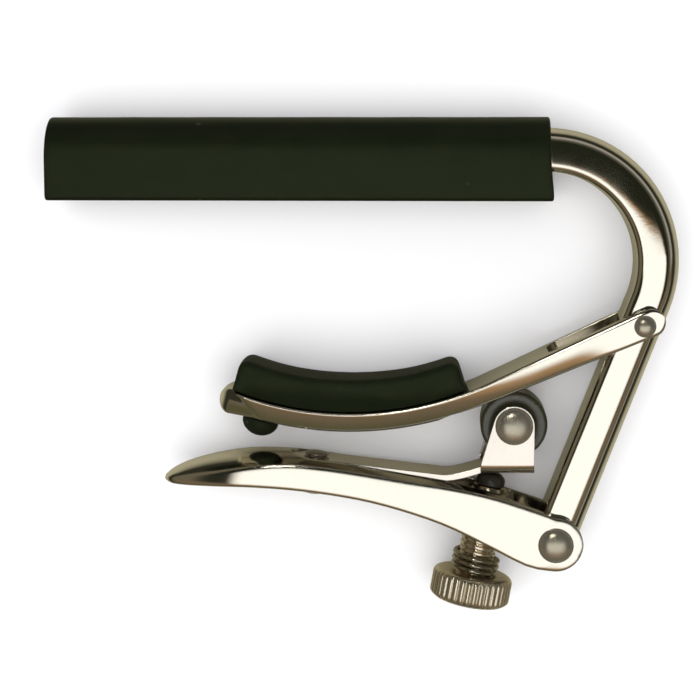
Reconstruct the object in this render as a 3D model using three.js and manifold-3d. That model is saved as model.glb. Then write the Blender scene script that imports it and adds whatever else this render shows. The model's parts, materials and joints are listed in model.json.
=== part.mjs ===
// Guitar capo with a hook-shaped string bar, a swinging neck pad arm and an over-centre
// lever that locks the arm through a roller on a screw-adjusted spring strap.
// Millimetres. The capo lies on its side: X runs along the string bar, Y runs from the lever
// up to the string bar and Z is the width. Everything is drawn about the lever's pivot and
// about the mid-plane z = 0; the last lines set the capo down on z = 0.

import * as THREE from 'three';
import { mergeVertices } from 'three/addons/utils/BufferGeometryUtils.js';
import Module from 'manifold-3d';

const wasm = await Module();
wasm.setup();

const radians = THREE.MathUtils.degToRad;

// ---- Driving dimensions ----

const ARM_PIVOT = new THREE.Vector2(10.9, 28.6);
const FACE_GAP = 0.2;
const CHORD_ERROR = 0.014;
const ROUND = 24;
const ACROSS = 7;

const BAR = {
  halfWidth: 3.8, halfThickness: 2.8, flankTop: 0.6, corner: 0.9,
  bendCentre: new THREE.Vector2(-1.7, 36.4), bendRadius: 14.5, sweep: radians(110.8), bendSteps: 26,
  tipX: -65.2, legLength: 33.42,
};

const SLEEVE = {
  left: -66.1, right: -1.25, lip: 0.45, halfWidth: 5.15,
  bottom: 44.4, flankTop: 49.4, top: 55.1, corner: 0.5,
};

const ARM = {
  halfWidth: 5.6, edge: 0.4,
  bedCentre: new THREE.Vector2(-27.1, 59.0), bedTop: 41.95, bedUnder: 44.5, bedEnd: radians(24),
  bedNose: radians(-20), bedHeel: radians(-16),
  noseCentre: new THREE.Vector2(-42.45, 18.3), noseRadius: 1.7, noseStart: -39.0, noseEnd: -44.15,
  direction: radians(24), eyeRadius: 1.9, eyeShift: 0.85, eyeTop: 1.95, eyeUnder: -1.75,
  slotHalfWidth: 4.0, slotLength: 12.5, slotCorner: 1.4,
  trackHalfWidth: 4.7, trackAngle: radians(24.2), trackDistance: 20.98, trackLength: 25, trackDepth: 6,
};

const BUTTON = { stem: 1.5, radius: 2.42, height: 2.4, seat: -0.4, top: 4.2, tilt: radians(15) };

const PAD = {
  halfWidth: 4.35, edge: 0.6, topCentre: new THREE.Vector2(-26.9, 57.35), topRadius: 36.0,
  left: -41.0, right: -13.0, leftDraft: radians(13), rightDraft: radians(19), draftHeight: 4.4,
  sideDraft: 0.12, sideHeight: 24.35, corner: 2.1,
};

const LEVER = {
  halfWidth: 5.3, pivotRadius: 3.55, edge: 0.5, crownSteps: 5, edgeSteps: 2, spanSteps: 34,
  endSteps: 8, endTurn: radians(86), forkHalfWidth: 4.0, forkStart: -6.0, forkCorner: 1,
  channelHalfWidth: 3.4, channelStart: -36, channelRise: 0.55,
  channelNear: new THREE.Vector2(-28, 8.9), channelFar: new THREE.Vector2(-13.3, 5.4),
};

// Stations along the lever: x, underside, height of the side face, crest on the mid-plane, half width.
const LEVER_STATIONS = [
  [-51.5, 7.35, 7.75, 7.95, 0.9],
  [-50.4, 7.1, 8.0, 8.85, 2.5],
  [-48.0, 7.05, 8.45, 9.95, 3.75],
  [-44.0, 7.1, 9.1, 11.0, 4.75],
  [-39.6, 7.1, 9.85, 11.6, 5.2],
  [-34.4, 6.8, 10.15, 11.45, 5.3],
  [-29.3, 6.2, 9.7, 10.9, 5.3],
  [-24.2, 5.3, 8.95, 10.1, 5.3],
  [-19.0, 3.9, 8.1, 9.2, 5.3],
  [-13.9, 2.1, 7.35, 8.3, 5.3],
  [-8.7, -0.4, 6.3, 7.0, 5.3],
  [-3.6, -2.95, 4.75, 5.1, 5.3],
  [0.0, -3.55, 3.55, 3.6, 5.3],
];

const STRAP = {
  thickness: 0.85, halfWidth: 3.15, rootRadius: 3.15, bend: 1.6, overlap: 2.5,
  root: new THREE.Vector2(-31.4, 10.2), kink: new THREE.Vector2(-13.3, 8.2),
  rise: new THREE.Vector2(-9.6, 9.5),
};

const CLEVIS = {
  halfWidth: 4.3, sheet: 0.85, bend: 1.3, bendSteps: 3,
  left: -9.75, right: -2.85, bottom: 9.1, earFoot: 10.4, earRadius: 2.65,
};

const ROLLER = {
  centre: new THREE.Vector2(-5.5, 15.4), radius: 4.35, bore: 1.6, halfWidth: 3.1, edge: 0.5, segments: 48,
};

const SCREW = {
  top: new THREE.Vector2(-8.15, 8.75), tilt: radians(10), shank: 2.4, hole: 2.6, knobTop: 13.75,
  topRadius: 4.3, knobRadius: 5.3, rootRadius: 5.0, shoulder: 0.75, knurlEnd: 17.0, knobEnd: 17.6,
  endRadius: 4.6, ridges: 36, ridgeRise: 0.3, ridgeFall: 0.65, tipRadius: 1.9, tipDome: 1.2, tipSeat: 2.0,
};

const SPRING = { wire: 0.33, turns: 2.75, pitch: 0.8, radius: 2.85, seat: 0.05, stepsPerTurn: 14, sides: 6 };

// Rivets: radius of the shank and of its hole, radius and height of the domed heads.
const ARM_RIVET = { shank: 1.0, hole: 1.1, head: 1.4, height: 0.5 };
const LEVER_RIVET = { shank: 1.5, hole: 1.6, head: 2.3, height: 0.75 };
const AXLE = { shank: 1.5, hole: 1.6, head: 2.45, height: 0.75 };
const STRAP_RIVET = {
  shank: 1.1, hole: 1.3, head: 1.7, height: 0.4, lift: 0.28, tail: 1.75, tailHeight: 0.55, tailSeat: -4.15,
};
const RIVET_SEAT = 0.05;

// ---- Shape helpers ----

// Chords for an arc that stay within CHORD_ERROR of it.
function chords(radius, sweep) {
  return Math.ceil(Math.abs(sweep) / (2 * Math.acos(1 - CHORD_ERROR / radius)));
}

function arcPoints(cx, cy, rx, ry, from, to, steps = chords(Math.max(rx, ry), to - from)) {
  const points = [];
  for (let i = 0; i <= steps; i += 1) {
    const angle = from + (to - from) * (i / steps);
    points.push(new THREE.Vector2(cx + rx * Math.cos(angle), cy + ry * Math.sin(angle)));
  }
  return points;
}

// A closed surface needs shared corners and no triangles without area.
function toSolid(geometry) {
  const bare = geometry.clone();
  bare.deleteAttribute('normal');
  bare.deleteAttribute('uv');
  const merged = mergeVertices(bare, 1e-4);
  const corners = merged.index.array;
  const kept = [];
  for (let i = 0; i < corners.length; i += 3) {
    const [a, b, c] = [corners[i], corners[i + 1], corners[i + 2]];
    if (a !== b && b !== c && c !== a) {
      kept.push(a, b, c);
    }
  }
  const mesh = new wasm.Mesh({
    numProp: 3,
    vertProperties: new Float32Array(merged.attributes.position.array),
    triVerts: new Uint32Array(kept),
  });
  return new wasm.Manifold(mesh);
}

function toGeometry(solid) {
  const mesh = solid.getMesh();
  const geometry = new THREE.BufferGeometry();
  geometry.setAttribute('position', new THREE.BufferAttribute(mesh.vertProperties, 3));
  geometry.setIndex(new THREE.BufferAttribute(mesh.triVerts, 1));
  geometry.computeVertexNormals();
  return geometry;
}

// A corner between "before" and "after" rounded off over "reach" on each side.
function roundedCorner(before, corner, after, reach) {
  const start = corner.clone().add(before.clone().sub(corner).setLength(reach));
  const end = corner.clone().add(after.clone().sub(corner).setLength(reach));
  return new THREE.QuadraticBezierCurve(start, corner, end).getPoints(5);
}

// A D-shaped section: flat below with rounded lower corners, upright flanks and a domed top.
function dSection(halfWidth, low, flankTop, top, corner) {
  return [
    ...arcPoints(halfWidth - corner, low + corner, corner, corner, -Math.PI / 2, 0),
    ...arcPoints(0, flankTop, halfWidth, top - flankTop, 0, Math.PI),
    ...arcPoints(corner - halfWidth, low + corner, corner, corner, Math.PI, 1.5 * Math.PI),
  ];
}

// An outline in X and Y made into a plate across the width, with its edges rounded by "edge".
function plate(points, halfWidth, edge = 0) {
  const geometry = new THREE.ExtrudeGeometry(new THREE.Shape(points), {
    depth: 2 * (halfWidth - edge),
    steps: 1,
    bevelEnabled: edge > 0,
    bevelThickness: edge,
    bevelSize: edge,
    bevelOffset: -edge,
    bevelSegments: 2,
  });
  geometry.translate(0, 0, -(halfWidth - edge));
  return geometry;
}

// An outline in X and Z (given as x, z) made into a block from "low" to "high" along Y.
function block(points, low, high) {
  const shape = new THREE.Shape(points);
  const geometry = new THREE.ExtrudeGeometry(shape, { depth: high - low, bevelEnabled: false });
  geometry.rotateX(Math.PI / 2);
  geometry.translate(0, high, 0);
  return geometry;
}

// A hole drilled through the whole width.
function crossHole(radius, place = new THREE.Vector2(), segments = ROUND) {
  const hole = new THREE.CylinderGeometry(radius, radius, 2 * ACROSS, segments);
  return toSolid(hole.rotateX(Math.PI / 2).translate(place.x, place.y, 0));
}

// Closed surface through rings of equal count, with a flat fan at each end.
function loft(rings) {
  const count = rings[0].length;
  const positions = rings.flat().flatMap((p) => [p.x, p.y, p.z]);
  const indices = [];
  for (let r = 0; r + 1 < rings.length; r += 1) {
    for (let i = 0; i < count; i += 1) {
      const next = (i + 1) % count;
      const [a, b] = [r * count + i, r * count + next];
      const [c, d] = [(r + 1) * count + i, (r + 1) * count + next];
      indices.push(a, d, b, a, c, d);
    }
  }
  const last = (rings.length - 1) * count;
  for (let i = 1; i + 1 < count; i += 1) {
    indices.push(0, i, i + 1);
    indices.push(last, last + i + 1, last + i);
  }
  const geometry = new THREE.BufferGeometry();
  geometry.setAttribute('position', new THREE.Float32BufferAttribute(positions, 3));
  geometry.setIndex(indices);
  return geometry;
}

// A turned shape's profile has its first and last points exactly on the axis.
function onAxis(point, index, profile) {
  const isEnd = index === 0 || index === profile.length - 1;
  return isEnd ? new THREE.Vector2(0, point.y) : point;
}

// A rivet across the width: a plain shank with a low domed head on each side.
function rivet({ shank, head, height }, halfWidth) {
  const seat = halfWidth + RIVET_SEAT;
  const profile = [
    ...arcPoints(0, -seat, head, height, -Math.PI / 2, 0),
    new THREE.Vector2(shank, -seat),
    new THREE.Vector2(shank, seat),
    ...arcPoints(0, seat, head, height, 0, Math.PI / 2),
  ].map(onAxis);
  return new THREE.LatheGeometry(profile, ROUND).rotateX(Math.PI / 2);
}

// ---- String bar and its rubber sleeve ----

// The bar's section: a flat inner face, straight flanks and a domed outer face.
function barSection(middle, clearance) {
  const { halfWidth, halfThickness, flankTop, corner } = BAR;
  const low = middle - halfThickness - clearance;
  return dSection(halfWidth + clearance, low, middle + flankTop, middle + halfThickness + clearance, corner);
}

// Centre line of the bar: straight under the sleeve, round the bend, straight down the leg.
class HookPath extends THREE.Curve {
  getUtoTmapping(u) {
    return u;
  }

  turnAt(t) {
    const station = t * (BAR.bendSteps + 2);
    return THREE.MathUtils.clamp((station - 1) / BAR.bendSteps, 0, 1) * BAR.sweep;
  }

  getPoint(t, target = new THREE.Vector3()) {
    const station = t * (BAR.bendSteps + 2);
    const turn = this.turnAt(t);
    const before = Math.max(0, 1 - station) * (BAR.bendCentre.x - BAR.tipX);
    const after = Math.max(0, station - BAR.bendSteps - 1) * (BAR.legLength + BAR.halfThickness);
    target.set(
      BAR.bendCentre.x + BAR.bendRadius * Math.sin(turn),
      BAR.bendCentre.y + BAR.bendRadius * Math.cos(turn),
      0,
    );
    return target.addScaledVector(this.getTangent(t), after - before);
  }

  getTangent(t, target = new THREE.Vector3()) {
    const turn = this.turnAt(t);
    return target.set(Math.cos(turn), -Math.sin(turn), 0);
  }
}

function stringBar() {
  const swept = new THREE.ExtrudeGeometry(new THREE.Shape(barSection(0, 0)), {
    steps: BAR.bendSteps + 2,
    bevelEnabled: false,
    extrudePath: new HookPath(),
  });
  const endBlock = new THREE.BoxGeometry(8, 8, 12).translate(4, 0, 0).rotateZ(-BAR.sweep);
  const roundEnd = toSolid(endBlock).subtract(crossHole(BAR.halfThickness, undefined, 32));
  return toSolid(swept)
    .subtract(roundEnd)
    .subtract(crossHole(LEVER_RIVET.hole))
    .subtract(crossHole(ARM_RIVET.hole, ARM_PIVOT));
}

// The sleeve is a D-shaped tube; the lip under the bar reaches a little further round the bend.
function stringSleeve() {
  const { left, right, lip, halfWidth, bottom, flankTop, top, corner } = SLEEVE;
  const middle = BAR.bendCentre.y + BAR.bendRadius;
  const section = new THREE.Shape(dSection(halfWidth, bottom, flankTop, top, corner));
  section.holes.push(new THREE.Path(barSection(middle, FACE_GAP)));
  const tube = new THREE.ExtrudeGeometry(section, { depth: right + lip - left, bevelEnabled: false });
  tube.rotateY(Math.PI / 2).translate(left, 0, 0);
  const lipTop = middle - BAR.halfThickness - FACE_GAP;
  const cutBack = new THREE.BoxGeometry(2, 10, 2 * ACROSS).translate(right + 1, lipTop + 5, 0);
  return toSolid(tube).subtract(toSolid(cutBack));
}

// ---- Swinging arm and neck pad ----

// The arm's bed is an arc about a centre high above it; angles are measured from straight down.
function bedPoint(radius, angle) {
  const { bedCentre } = ARM;
  return new THREE.Vector2(bedCentre.x + radius * Math.sin(angle), bedCentre.y - radius * Math.cos(angle));
}

function bedArc(radius, from, to) {
  const { bedCentre } = ARM;
  return arcPoints(bedCentre.x, bedCentre.y, radius, radius, from - Math.PI / 2, to - Math.PI / 2);
}

// A place on the arm given along it from its pivot and square to it.
function fromArmPivot(along, up) {
  const [c, s] = [Math.cos(ARM.direction), Math.sin(ARM.direction)];
  return new THREE.Vector2(ARM_PIVOT.x + along * c - up * s, ARM_PIVOT.y + along * s + up * c);
}

function armOutline() {
  const { direction, eyeRadius, eyeShift } = ARM;
  const eye = fromArmPivot(eyeShift, (ARM.eyeTop + ARM.eyeUnder) / 2);
  const nose = ARM.noseCentre;
  return [
    ...bedArc(ARM.bedUnder, ARM.bedHeel, ARM.bedEnd),
    fromArmPivot(0, ARM.eyeUnder),
    ...arcPoints(eye.x, eye.y, eyeRadius, eyeRadius, direction - radians(75), direction + radians(75)),
    fromArmPivot(0, ARM.eyeTop),
    ...bedArc(ARM.bedTop, ARM.bedEnd, ARM.bedNose),
    ...arcPoints(nose.x, nose.y, ARM.noseRadius, ARM.noseRadius, radians(72), radians(262)),
  ];
}

// Seen from above the arm is straight-sided with a fully rounded nose.
function armPlan() {
  const reach = ARM.noseStart - ARM.noseEnd;
  return [
    new THREE.Vector2(20, -ARM.halfWidth),
    new THREE.Vector2(20, ARM.halfWidth),
    ...arcPoints(ARM.noseStart, 0, reach, ARM.halfWidth, Math.PI / 2, 1.5 * Math.PI),
  ];
}

// The fork: a slot with rounded inner corners that lets the bar pass and the arm swing.
function armSlot() {
  const { slotHalfWidth, slotCorner, slotLength } = ARM;
  const corner = slotHalfWidth - slotCorner;
  const outline = [
    ...arcPoints(slotCorner - slotLength, corner, slotCorner, slotCorner, Math.PI / 2, Math.PI),
    ...arcPoints(slotCorner - slotLength, -corner, slotCorner, slotCorner, Math.PI, 1.5 * Math.PI),
    new THREE.Vector2(8, -slotHalfWidth),
    new THREE.Vector2(8, slotHalfWidth),
  ];
  return block(outline, -6, 6).rotateZ(ARM.direction).translate(ARM_PIVOT.x, ARM_PIVOT.y, 0);
}

// The shallow track under the arm that the roller runs in.
function rollerTrack() {
  const { trackLength, trackDepth, trackHalfWidth, trackDistance, trackAngle } = ARM;
  const cut = new THREE.BoxGeometry(trackLength, trackDepth, 2 * trackHalfWidth);
  return cut.translate(-3, trackDistance - trackDepth / 2, 0).rotateZ(trackAngle);
}

function swingArm() {
  const body = toSolid(plate(armOutline(), ARM.halfWidth, ARM.edge));
  const buttonHole = new THREE.CylinderGeometry(BUTTON.stem + FACE_GAP, BUTTON.stem + FACE_GAP, 12, ROUND);
  placeAtButton(buttonHole);
  return body
    .intersect(toSolid(block(armPlan(), 0, 40)))
    .subtract(toSolid(armSlot()))
    .subtract(toSolid(rollerTrack()))
    .subtract(crossHole(ARM_RIVET.hole, ARM_PIVOT))
    .subtract(toSolid(buttonHole));
}

// Sets a shape drawn about the button's axis (Y up, origin on the arm's underside) in its place.
function placeAtButton(geometry) {
  const under = bedPoint(ARM.bedUnder, -BUTTON.tilt);
  return geometry.rotateZ(-BUTTON.tilt).translate(under.x, under.y, 0);
}

// The pad seen from the side: concave top, rounded shoulders and ends that slope out to the bed.
function padOutline() {
  const { topCentre, topRadius, left, right, corner, draftHeight } = PAD;
  const turnAt = (x) => Math.asin((x - topCentre.x) / topRadius) - Math.PI / 2;
  const topPoint = (x) => new THREE.Vector2(x, topCentre.y + topRadius * Math.sin(turnAt(x)));
  const bedRadius = ARM.bedTop - FACE_GAP;
  const lowLeft = Math.asin((left - draftHeight * Math.tan(PAD.leftDraft) - ARM.bedCentre.x) / bedRadius);
  const lowRight = Math.asin((right + draftHeight * Math.tan(PAD.rightDraft) - ARM.bedCentre.x) / bedRadius);
  const under = bedArc(bedRadius, lowLeft, lowRight);
  const top = arcPoints(topCentre.x, topCentre.y, topRadius, topRadius,
    turnAt(right - corner), turnAt(left + corner));
  return [
    ...under,
    ...roundedCorner(under.at(-1), topPoint(right), top[0], corner),
    ...top.slice(1, -1),
    ...roundedCorner(top.at(-1), topPoint(left), under[0], corner),
  ];
}

// The pad's flanks lean out towards the bed; its button is drawn through the arm from below.
function neckPad() {
  const body = plate(padOutline(), PAD.halfWidth, PAD.edge);
  const position = body.attributes.position;
  for (let i = 0; i < position.count; i += 1) {
    const side = THREE.MathUtils.clamp(position.getZ(i) / 3, -1, 1);
    position.setZ(i, position.getZ(i) + side * PAD.sideDraft * (PAD.sideHeight - position.getY(i)));
  }
  const button = new THREE.LatheGeometry([
    ...arcPoints(0, BUTTON.seat, BUTTON.radius, BUTTON.height, -Math.PI / 2, 0),
    new THREE.Vector2(BUTTON.stem, BUTTON.seat),
    new THREE.Vector2(BUTTON.stem, BUTTON.top),
    new THREE.Vector2(0, BUTTON.top),
  ].map(onAxis), ROUND);
  return toSolid(body).add(toSolid(placeAtButton(button)));
}

// ---- Lever ----

// Smooth curves through the columns of the station table.
function leverColumns() {
  return [1, 2, 3, 4].map((column) => new THREE.SplineCurve(
    LEVER_STATIONS.map((station) => new THREE.Vector2(station[0], station[column])),
  ));
}

// One section across the lever: rounded lower corners, upright sides and a crowned top.
function leverRing(x, under, side, crest, halfWidth) {
  const { crownSteps, edgeSteps } = LEVER;
  const round = Math.min(LEVER.edge, (side - under) * 0.35, halfWidth * 0.4);
  const crown = (z) => side + (crest - side) * (1 - (z / halfWidth) ** 2);
  const ring = [
    ...arcPoints(-halfWidth + round, under + round, round, round, Math.PI, 1.5 * Math.PI, edgeSteps),
    ...arcPoints(halfWidth - round, under + round, round, round, 1.5 * Math.PI, 2 * Math.PI, edgeSteps),
    new THREE.Vector2(halfWidth, side - round * 0.5),
    new THREE.Vector2(halfWidth - round * 0.3, crown(halfWidth - round * 0.3)),
  ];
  for (let i = 1; i < 2 * crownSteps; i += 1) {
    const z = (halfWidth - round * 0.3) * (1 - i / crownSteps);
    ring.push(new THREE.Vector2(z, crown(z)));
  }
  ring.push(new THREE.Vector2(round * 0.3 - halfWidth, crown(halfWidth - round * 0.3)));
  ring.push(new THREE.Vector2(-halfWidth, side - round * 0.5));
  return ring.map((p) => new THREE.Vector3(x, p.y, p.x));
}

function leverBody() {
  const columns = leverColumns();
  const rings = [];
  for (let i = 0; i <= LEVER.spanSteps; i += 1) {
    const t = i / LEVER.spanSteps;
    const values = columns.map((column) => column.getPoint(t));
    rings.push(leverRing(values[0].x, ...values.map((value) => value.y)));
  }
  const { pivotRadius, endSteps, endTurn, halfWidth } = LEVER;
  for (let i = 1; i <= endSteps; i += 1) {
    const angle = (i / endSteps) * endTurn;
    const half = pivotRadius * Math.cos(angle);
    rings.push(leverRing(pivotRadius * Math.sin(angle), -half, half, half, halfWidth));
  }
  return loft(rings);
}

// Space along the top of the lever for the strap to lie in and to spring down into.
function leverChannel() {
  const { channelHalfWidth, channelStart, channelRise, channelNear, channelFar } = LEVER;
  const { root, thickness } = STRAP;
  const seat = root.y - thickness / 2 - FACE_GAP;
  const end = LEVER.forkStart + LEVER.forkCorner;
  const open = 20;
  const side = [
    new THREE.Vector2(channelStart, seat + channelRise),
    new THREE.Vector2(root.x, seat),
    channelNear,
    channelFar,
    new THREE.Vector2(end, channelFar.y),
    new THREE.Vector2(end, open),
    new THREE.Vector2(channelStart, open),
  ];
  const plan = [
    new THREE.Vector2(0, -channelHalfWidth),
    new THREE.Vector2(0, channelHalfWidth),
    ...arcPoints(root.x, 0, channelHalfWidth, channelHalfWidth, Math.PI / 2, 1.5 * Math.PI),
  ];
  return toSolid(plate(side, ACROSS)).intersect(toSolid(block(plan, 0, open + 1)));
}

// Slot through the lever's end for the bar, with rounded inner corners.
function leverFork() {
  const { forkHalfWidth, forkStart, forkCorner } = LEVER;
  const corner = forkHalfWidth - forkCorner;
  const outline = [
    ...arcPoints(forkStart + forkCorner, corner, forkCorner, forkCorner, Math.PI / 2, Math.PI),
    ...arcPoints(forkStart + forkCorner, -corner, forkCorner, forkCorner, Math.PI, 1.5 * Math.PI),
    new THREE.Vector2(8, -forkHalfWidth),
    new THREE.Vector2(8, forkHalfWidth),
  ];
  return block(outline, -10, 20);
}

function lever() {
  const screwHole = alongScrew(new THREE.CylinderGeometry(SCREW.hole, SCREW.hole, 40, ROUND));
  const rivetHole = new THREE.CylinderGeometry(STRAP_RIVET.hole, STRAP_RIVET.hole, 20, ROUND);
  return toSolid(leverBody())
    .subtract(leverChannel())
    .subtract(toSolid(leverFork()))
    .subtract(crossHole(LEVER_RIVET.hole))
    .subtract(toSolid(screwHole))
    .subtract(toSolid(squareToStrap(rivetHole)));
}

// ---- Roller bracket ----

const STRAP_SLOPE = Math.atan2(STRAP.root.y - STRAP.kink.y, STRAP.kink.x - STRAP.root.x);

// Sets a shape drawn about the strap's rivet (Y up) square to the strap's root.
function squareToStrap(geometry) {
  return geometry.rotateZ(-STRAP_SLOPE).translate(STRAP.root.x, STRAP.root.y, 0);
}

// Sheet strip along a bent line, seen from the side.
function stripOutline(line, thickness) {
  const upper = [];
  const lower = [];
  line.forEach((point, i) => {
    const before = line[Math.max(0, i - 1)];
    const after = line[Math.min(line.length - 1, i + 1)];
    const along = after.clone().sub(before).normalize();
    const square = new THREE.Vector2(-along.y, along.x).multiplyScalar(thickness / 2);
    upper.unshift(point.clone().add(square));
    lower.push(point.clone().sub(square));
  });
  return [...lower, ...upper];
}

function strap() {
  const { root, kink, rise, rootRadius, halfWidth, thickness, bend, overlap } = STRAP;
  const along = kink.clone().sub(root).normalize();
  const start = root.clone().addScaledVector(along, -rootRadius - 0.5);
  const turn = new THREE.QuadraticBezierCurve(kink.clone().addScaledVector(along, -bend), kink, rise);
  const flatEnd = new THREE.Vector2(CLEVIS.left + overlap, CLEVIS.bottom + CLEVIS.sheet / 2);
  const line = [start, ...turn.getPoints(5), flatEnd];
  const plan = [
    new THREE.Vector2(0, -halfWidth),
    new THREE.Vector2(0, halfWidth),
    ...arcPoints(root.x, 0, rootRadius, halfWidth, Math.PI / 2, 1.5 * Math.PI),
  ];
  const sheet = toSolid(plate(stripOutline(line, thickness), ACROSS));
  return sheet.intersect(toSolid(block(plan, 0, 20)));
}

// The clevis seen along X: a flat base with a rounded bend up into each ear.
function clevisSection() {
  const { halfWidth, sheet, bend, bottom, bendSteps } = CLEVIS;
  const inner = bend - sheet;
  const foot = bottom + bend;
  const top = 20;
  const bendAt = halfWidth - bend;
  return [
    new THREE.Vector2(-halfWidth, top),
    ...arcPoints(-bendAt, foot, bend, bend, Math.PI, 1.5 * Math.PI, bendSteps),
    ...arcPoints(bendAt, foot, bend, bend, 1.5 * Math.PI, 2 * Math.PI, bendSteps),
    new THREE.Vector2(halfWidth, top),
    new THREE.Vector2(halfWidth - sheet, top),
    ...arcPoints(bendAt, foot, inner, inner, 2 * Math.PI, 1.5 * Math.PI, bendSteps),
    ...arcPoints(-bendAt, foot, inner, inner, 1.5 * Math.PI, Math.PI, bendSteps),
    new THREE.Vector2(sheet - halfWidth, top),
  ];
}

// The ear seen from the side: upright front edge, slanted back edge, round top about the axle.
function earOutline() {
  const { left, right, bottom, earFoot, earRadius } = CLEVIS;
  const { centre } = ROLLER;
  const reach = new THREE.Vector2(left, earFoot).sub(centre);
  const tangent = Math.atan2(reach.y, reach.x) - Math.acos(earRadius / reach.length());
  return [
    new THREE.Vector2(left, bottom - 1),
    new THREE.Vector2(right, bottom - 1),
    ...arcPoints(centre.x, centre.y, earRadius, earRadius, 0, tangent + 2 * Math.PI),
    new THREE.Vector2(left, earFoot),
  ];
}

function rollerBracket() {
  const section = new THREE.Shape(clevisSection());
  const channel = new THREE.ExtrudeGeometry(section, { depth: 9, bevelEnabled: false });
  channel.rotateY(Math.PI / 2).translate(CLEVIS.left - 1, 0, 0);
  const ears = toSolid(channel).intersect(toSolid(plate(earOutline(), ACROSS)));
  const rivetHole = squareToStrap(new THREE.CylinderGeometry(STRAP_RIVET.hole, STRAP_RIVET.hole, 6, ROUND));
  return ears
    .add(strap())
    .subtract(crossHole(AXLE.hole, ROLLER.centre))
    .subtract(toSolid(rivetHole));
}

// Rivet through the strap's root and the lever: a low oval head above, a small dome below.
function bracketRivet() {
  const { shank, head, height, lift, tail, tailHeight, tailSeat } = STRAP_RIVET;
  const headSeat = STRAP.thickness / 2 + lift;
  return new THREE.LatheGeometry([
    ...arcPoints(0, tailSeat, tail, tailHeight, -Math.PI / 2, 0),
    new THREE.Vector2(shank, tailSeat),
    new THREE.Vector2(shank, headSeat),
    ...arcPoints(0, headSeat, head, height, 0, Math.PI / 2),
  ].map(onAxis), ROUND);
}

// The roller is a plain ring whose two rims are rounded off.
function roller() {
  const { radius, bore, halfWidth, edge, segments } = ROLLER;
  const ring = new THREE.LatheGeometry([
    new THREE.Vector2(bore, -halfWidth),
    ...arcPoints(radius - edge, edge - halfWidth, edge, edge, -Math.PI / 2, 0),
    ...arcPoints(radius - edge, halfWidth - edge, edge, edge, 0, Math.PI / 2),
    new THREE.Vector2(bore, halfWidth),
    new THREE.Vector2(bore, -halfWidth),
  ], segments);
  return ring.rotateX(Math.PI / 2);
}

// ---- Adjusting screw, its tip and its spring ----

// Sets a shape drawn about the screw's axis (Y towards the tip, origin at the tip's top) in its place.
function alongScrew(geometry) {
  return geometry.rotateZ(-SCREW.tilt).translate(SCREW.top.x, SCREW.top.y, 0);
}

// Knurled knob outline: rounded ridges with narrow valleys between them.
function knurlOutline() {
  const { ridges, rootRadius, knobRadius, ridgeRise, ridgeFall } = SCREW;
  const points = [];
  for (let i = 0; i < ridges; i += 1) {
    for (const [share, radius] of [[0, rootRadius], [ridgeRise, knobRadius], [ridgeFall, knobRadius]]) {
      const angle = ((i + share) / ridges) * 2 * Math.PI;
      points.push(new THREE.Vector2(radius * Math.cos(angle), radius * Math.sin(angle)));
    }
  }
  return points;
}

// The knob's turned form: a rounded shoulder above the ridges and a chamfer below them.
function thumbScrew() {
  const { knobTop, knobEnd, knobRadius, topRadius, shoulder, knurlEnd, endRadius, shank, tipSeat } = SCREW;
  const knurl = block(knurlOutline(), -knobEnd, -knobTop);
  const clear = knobRadius + FACE_GAP / 2;
  const turned = new THREE.LatheGeometry([
    new THREE.Vector2(0, -knobEnd),
    new THREE.Vector2(endRadius, -knobEnd),
    new THREE.Vector2(clear, -knurlEnd),
    ...arcPoints(topRadius, -knobTop - shoulder, clear - topRadius, shoulder, 0, Math.PI / 2),
    new THREE.Vector2(0, -knobTop),
  ], 40);
  const stem = new THREE.CylinderGeometry(shank, shank, knobTop - tipSeat + 1, ROUND);
  stem.translate(0, -(knobTop + 1 + tipSeat) / 2, 0);
  return toSolid(knurl).intersect(toSolid(turned)).add(toSolid(stem));
}

function screwTip() {
  const { tipRadius, tipDome, tipSeat } = SCREW;
  return new THREE.LatheGeometry([
    new THREE.Vector2(0, -tipSeat + FACE_GAP),
    new THREE.Vector2(tipRadius, -tipSeat + FACE_GAP),
    ...arcPoints(0, -tipDome, tipRadius, tipDome, 0, Math.PI / 2),
  ].map(onAxis), ROUND);
}

class SpringPath extends THREE.Curve {
  getPoint(t, target = new THREE.Vector3()) {
    const angle = t * SPRING.turns * 2 * Math.PI;
    const low = -SCREW.knobTop + SPRING.wire + SPRING.seat;
    return target.set(
      SPRING.radius * Math.cos(angle),
      low + t * SPRING.turns * SPRING.pitch,
      SPRING.radius * Math.sin(angle),
    );
  }
}

function frictionSpring() {
  const { wire, sides, turns, stepsPerTurn } = SPRING;
  const round = arcPoints(0, 0, wire, wire, 0, 2 * Math.PI, sides);
  const section = new THREE.Shape(round.slice(0, sides));
  return new THREE.ExtrudeGeometry(section, {
    steps: Math.round(turns * stepsPerTurn),
    bevelEnabled: false,
    extrudePath: new SpringPath(),
  });
}

// ---- Finishes ----

function finish(color, roughness, metalness) {
  return new THREE.MeshStandardMaterial({ color, roughness, metalness });
}

const NICKEL = ['#b8ad98', 0.14, 1.0];
const RIVET_STEEL = ['#8c8371', 0.32, 1.0];
const BLACK_RUBBER = ['#1d2018', 0.6, 0.0];
const BLACK_PLASTIC = ['#2b2c24', 0.4, 0.0];

function piece(name, shape, look) {
  const geometry = shape instanceof THREE.BufferGeometry ? shape : toGeometry(shape);
  const mesh = new THREE.Mesh(geometry, finish(...look));
  mesh.name = name;
  return mesh;
}

// ---- Assembly ----

function framePieces() {
  const group = new THREE.Group();
  group.add(piece('string_bar', stringBar(), NICKEL));
  group.add(piece('string_sleeve', stringSleeve(), BLACK_RUBBER));
  return group;
}

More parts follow.
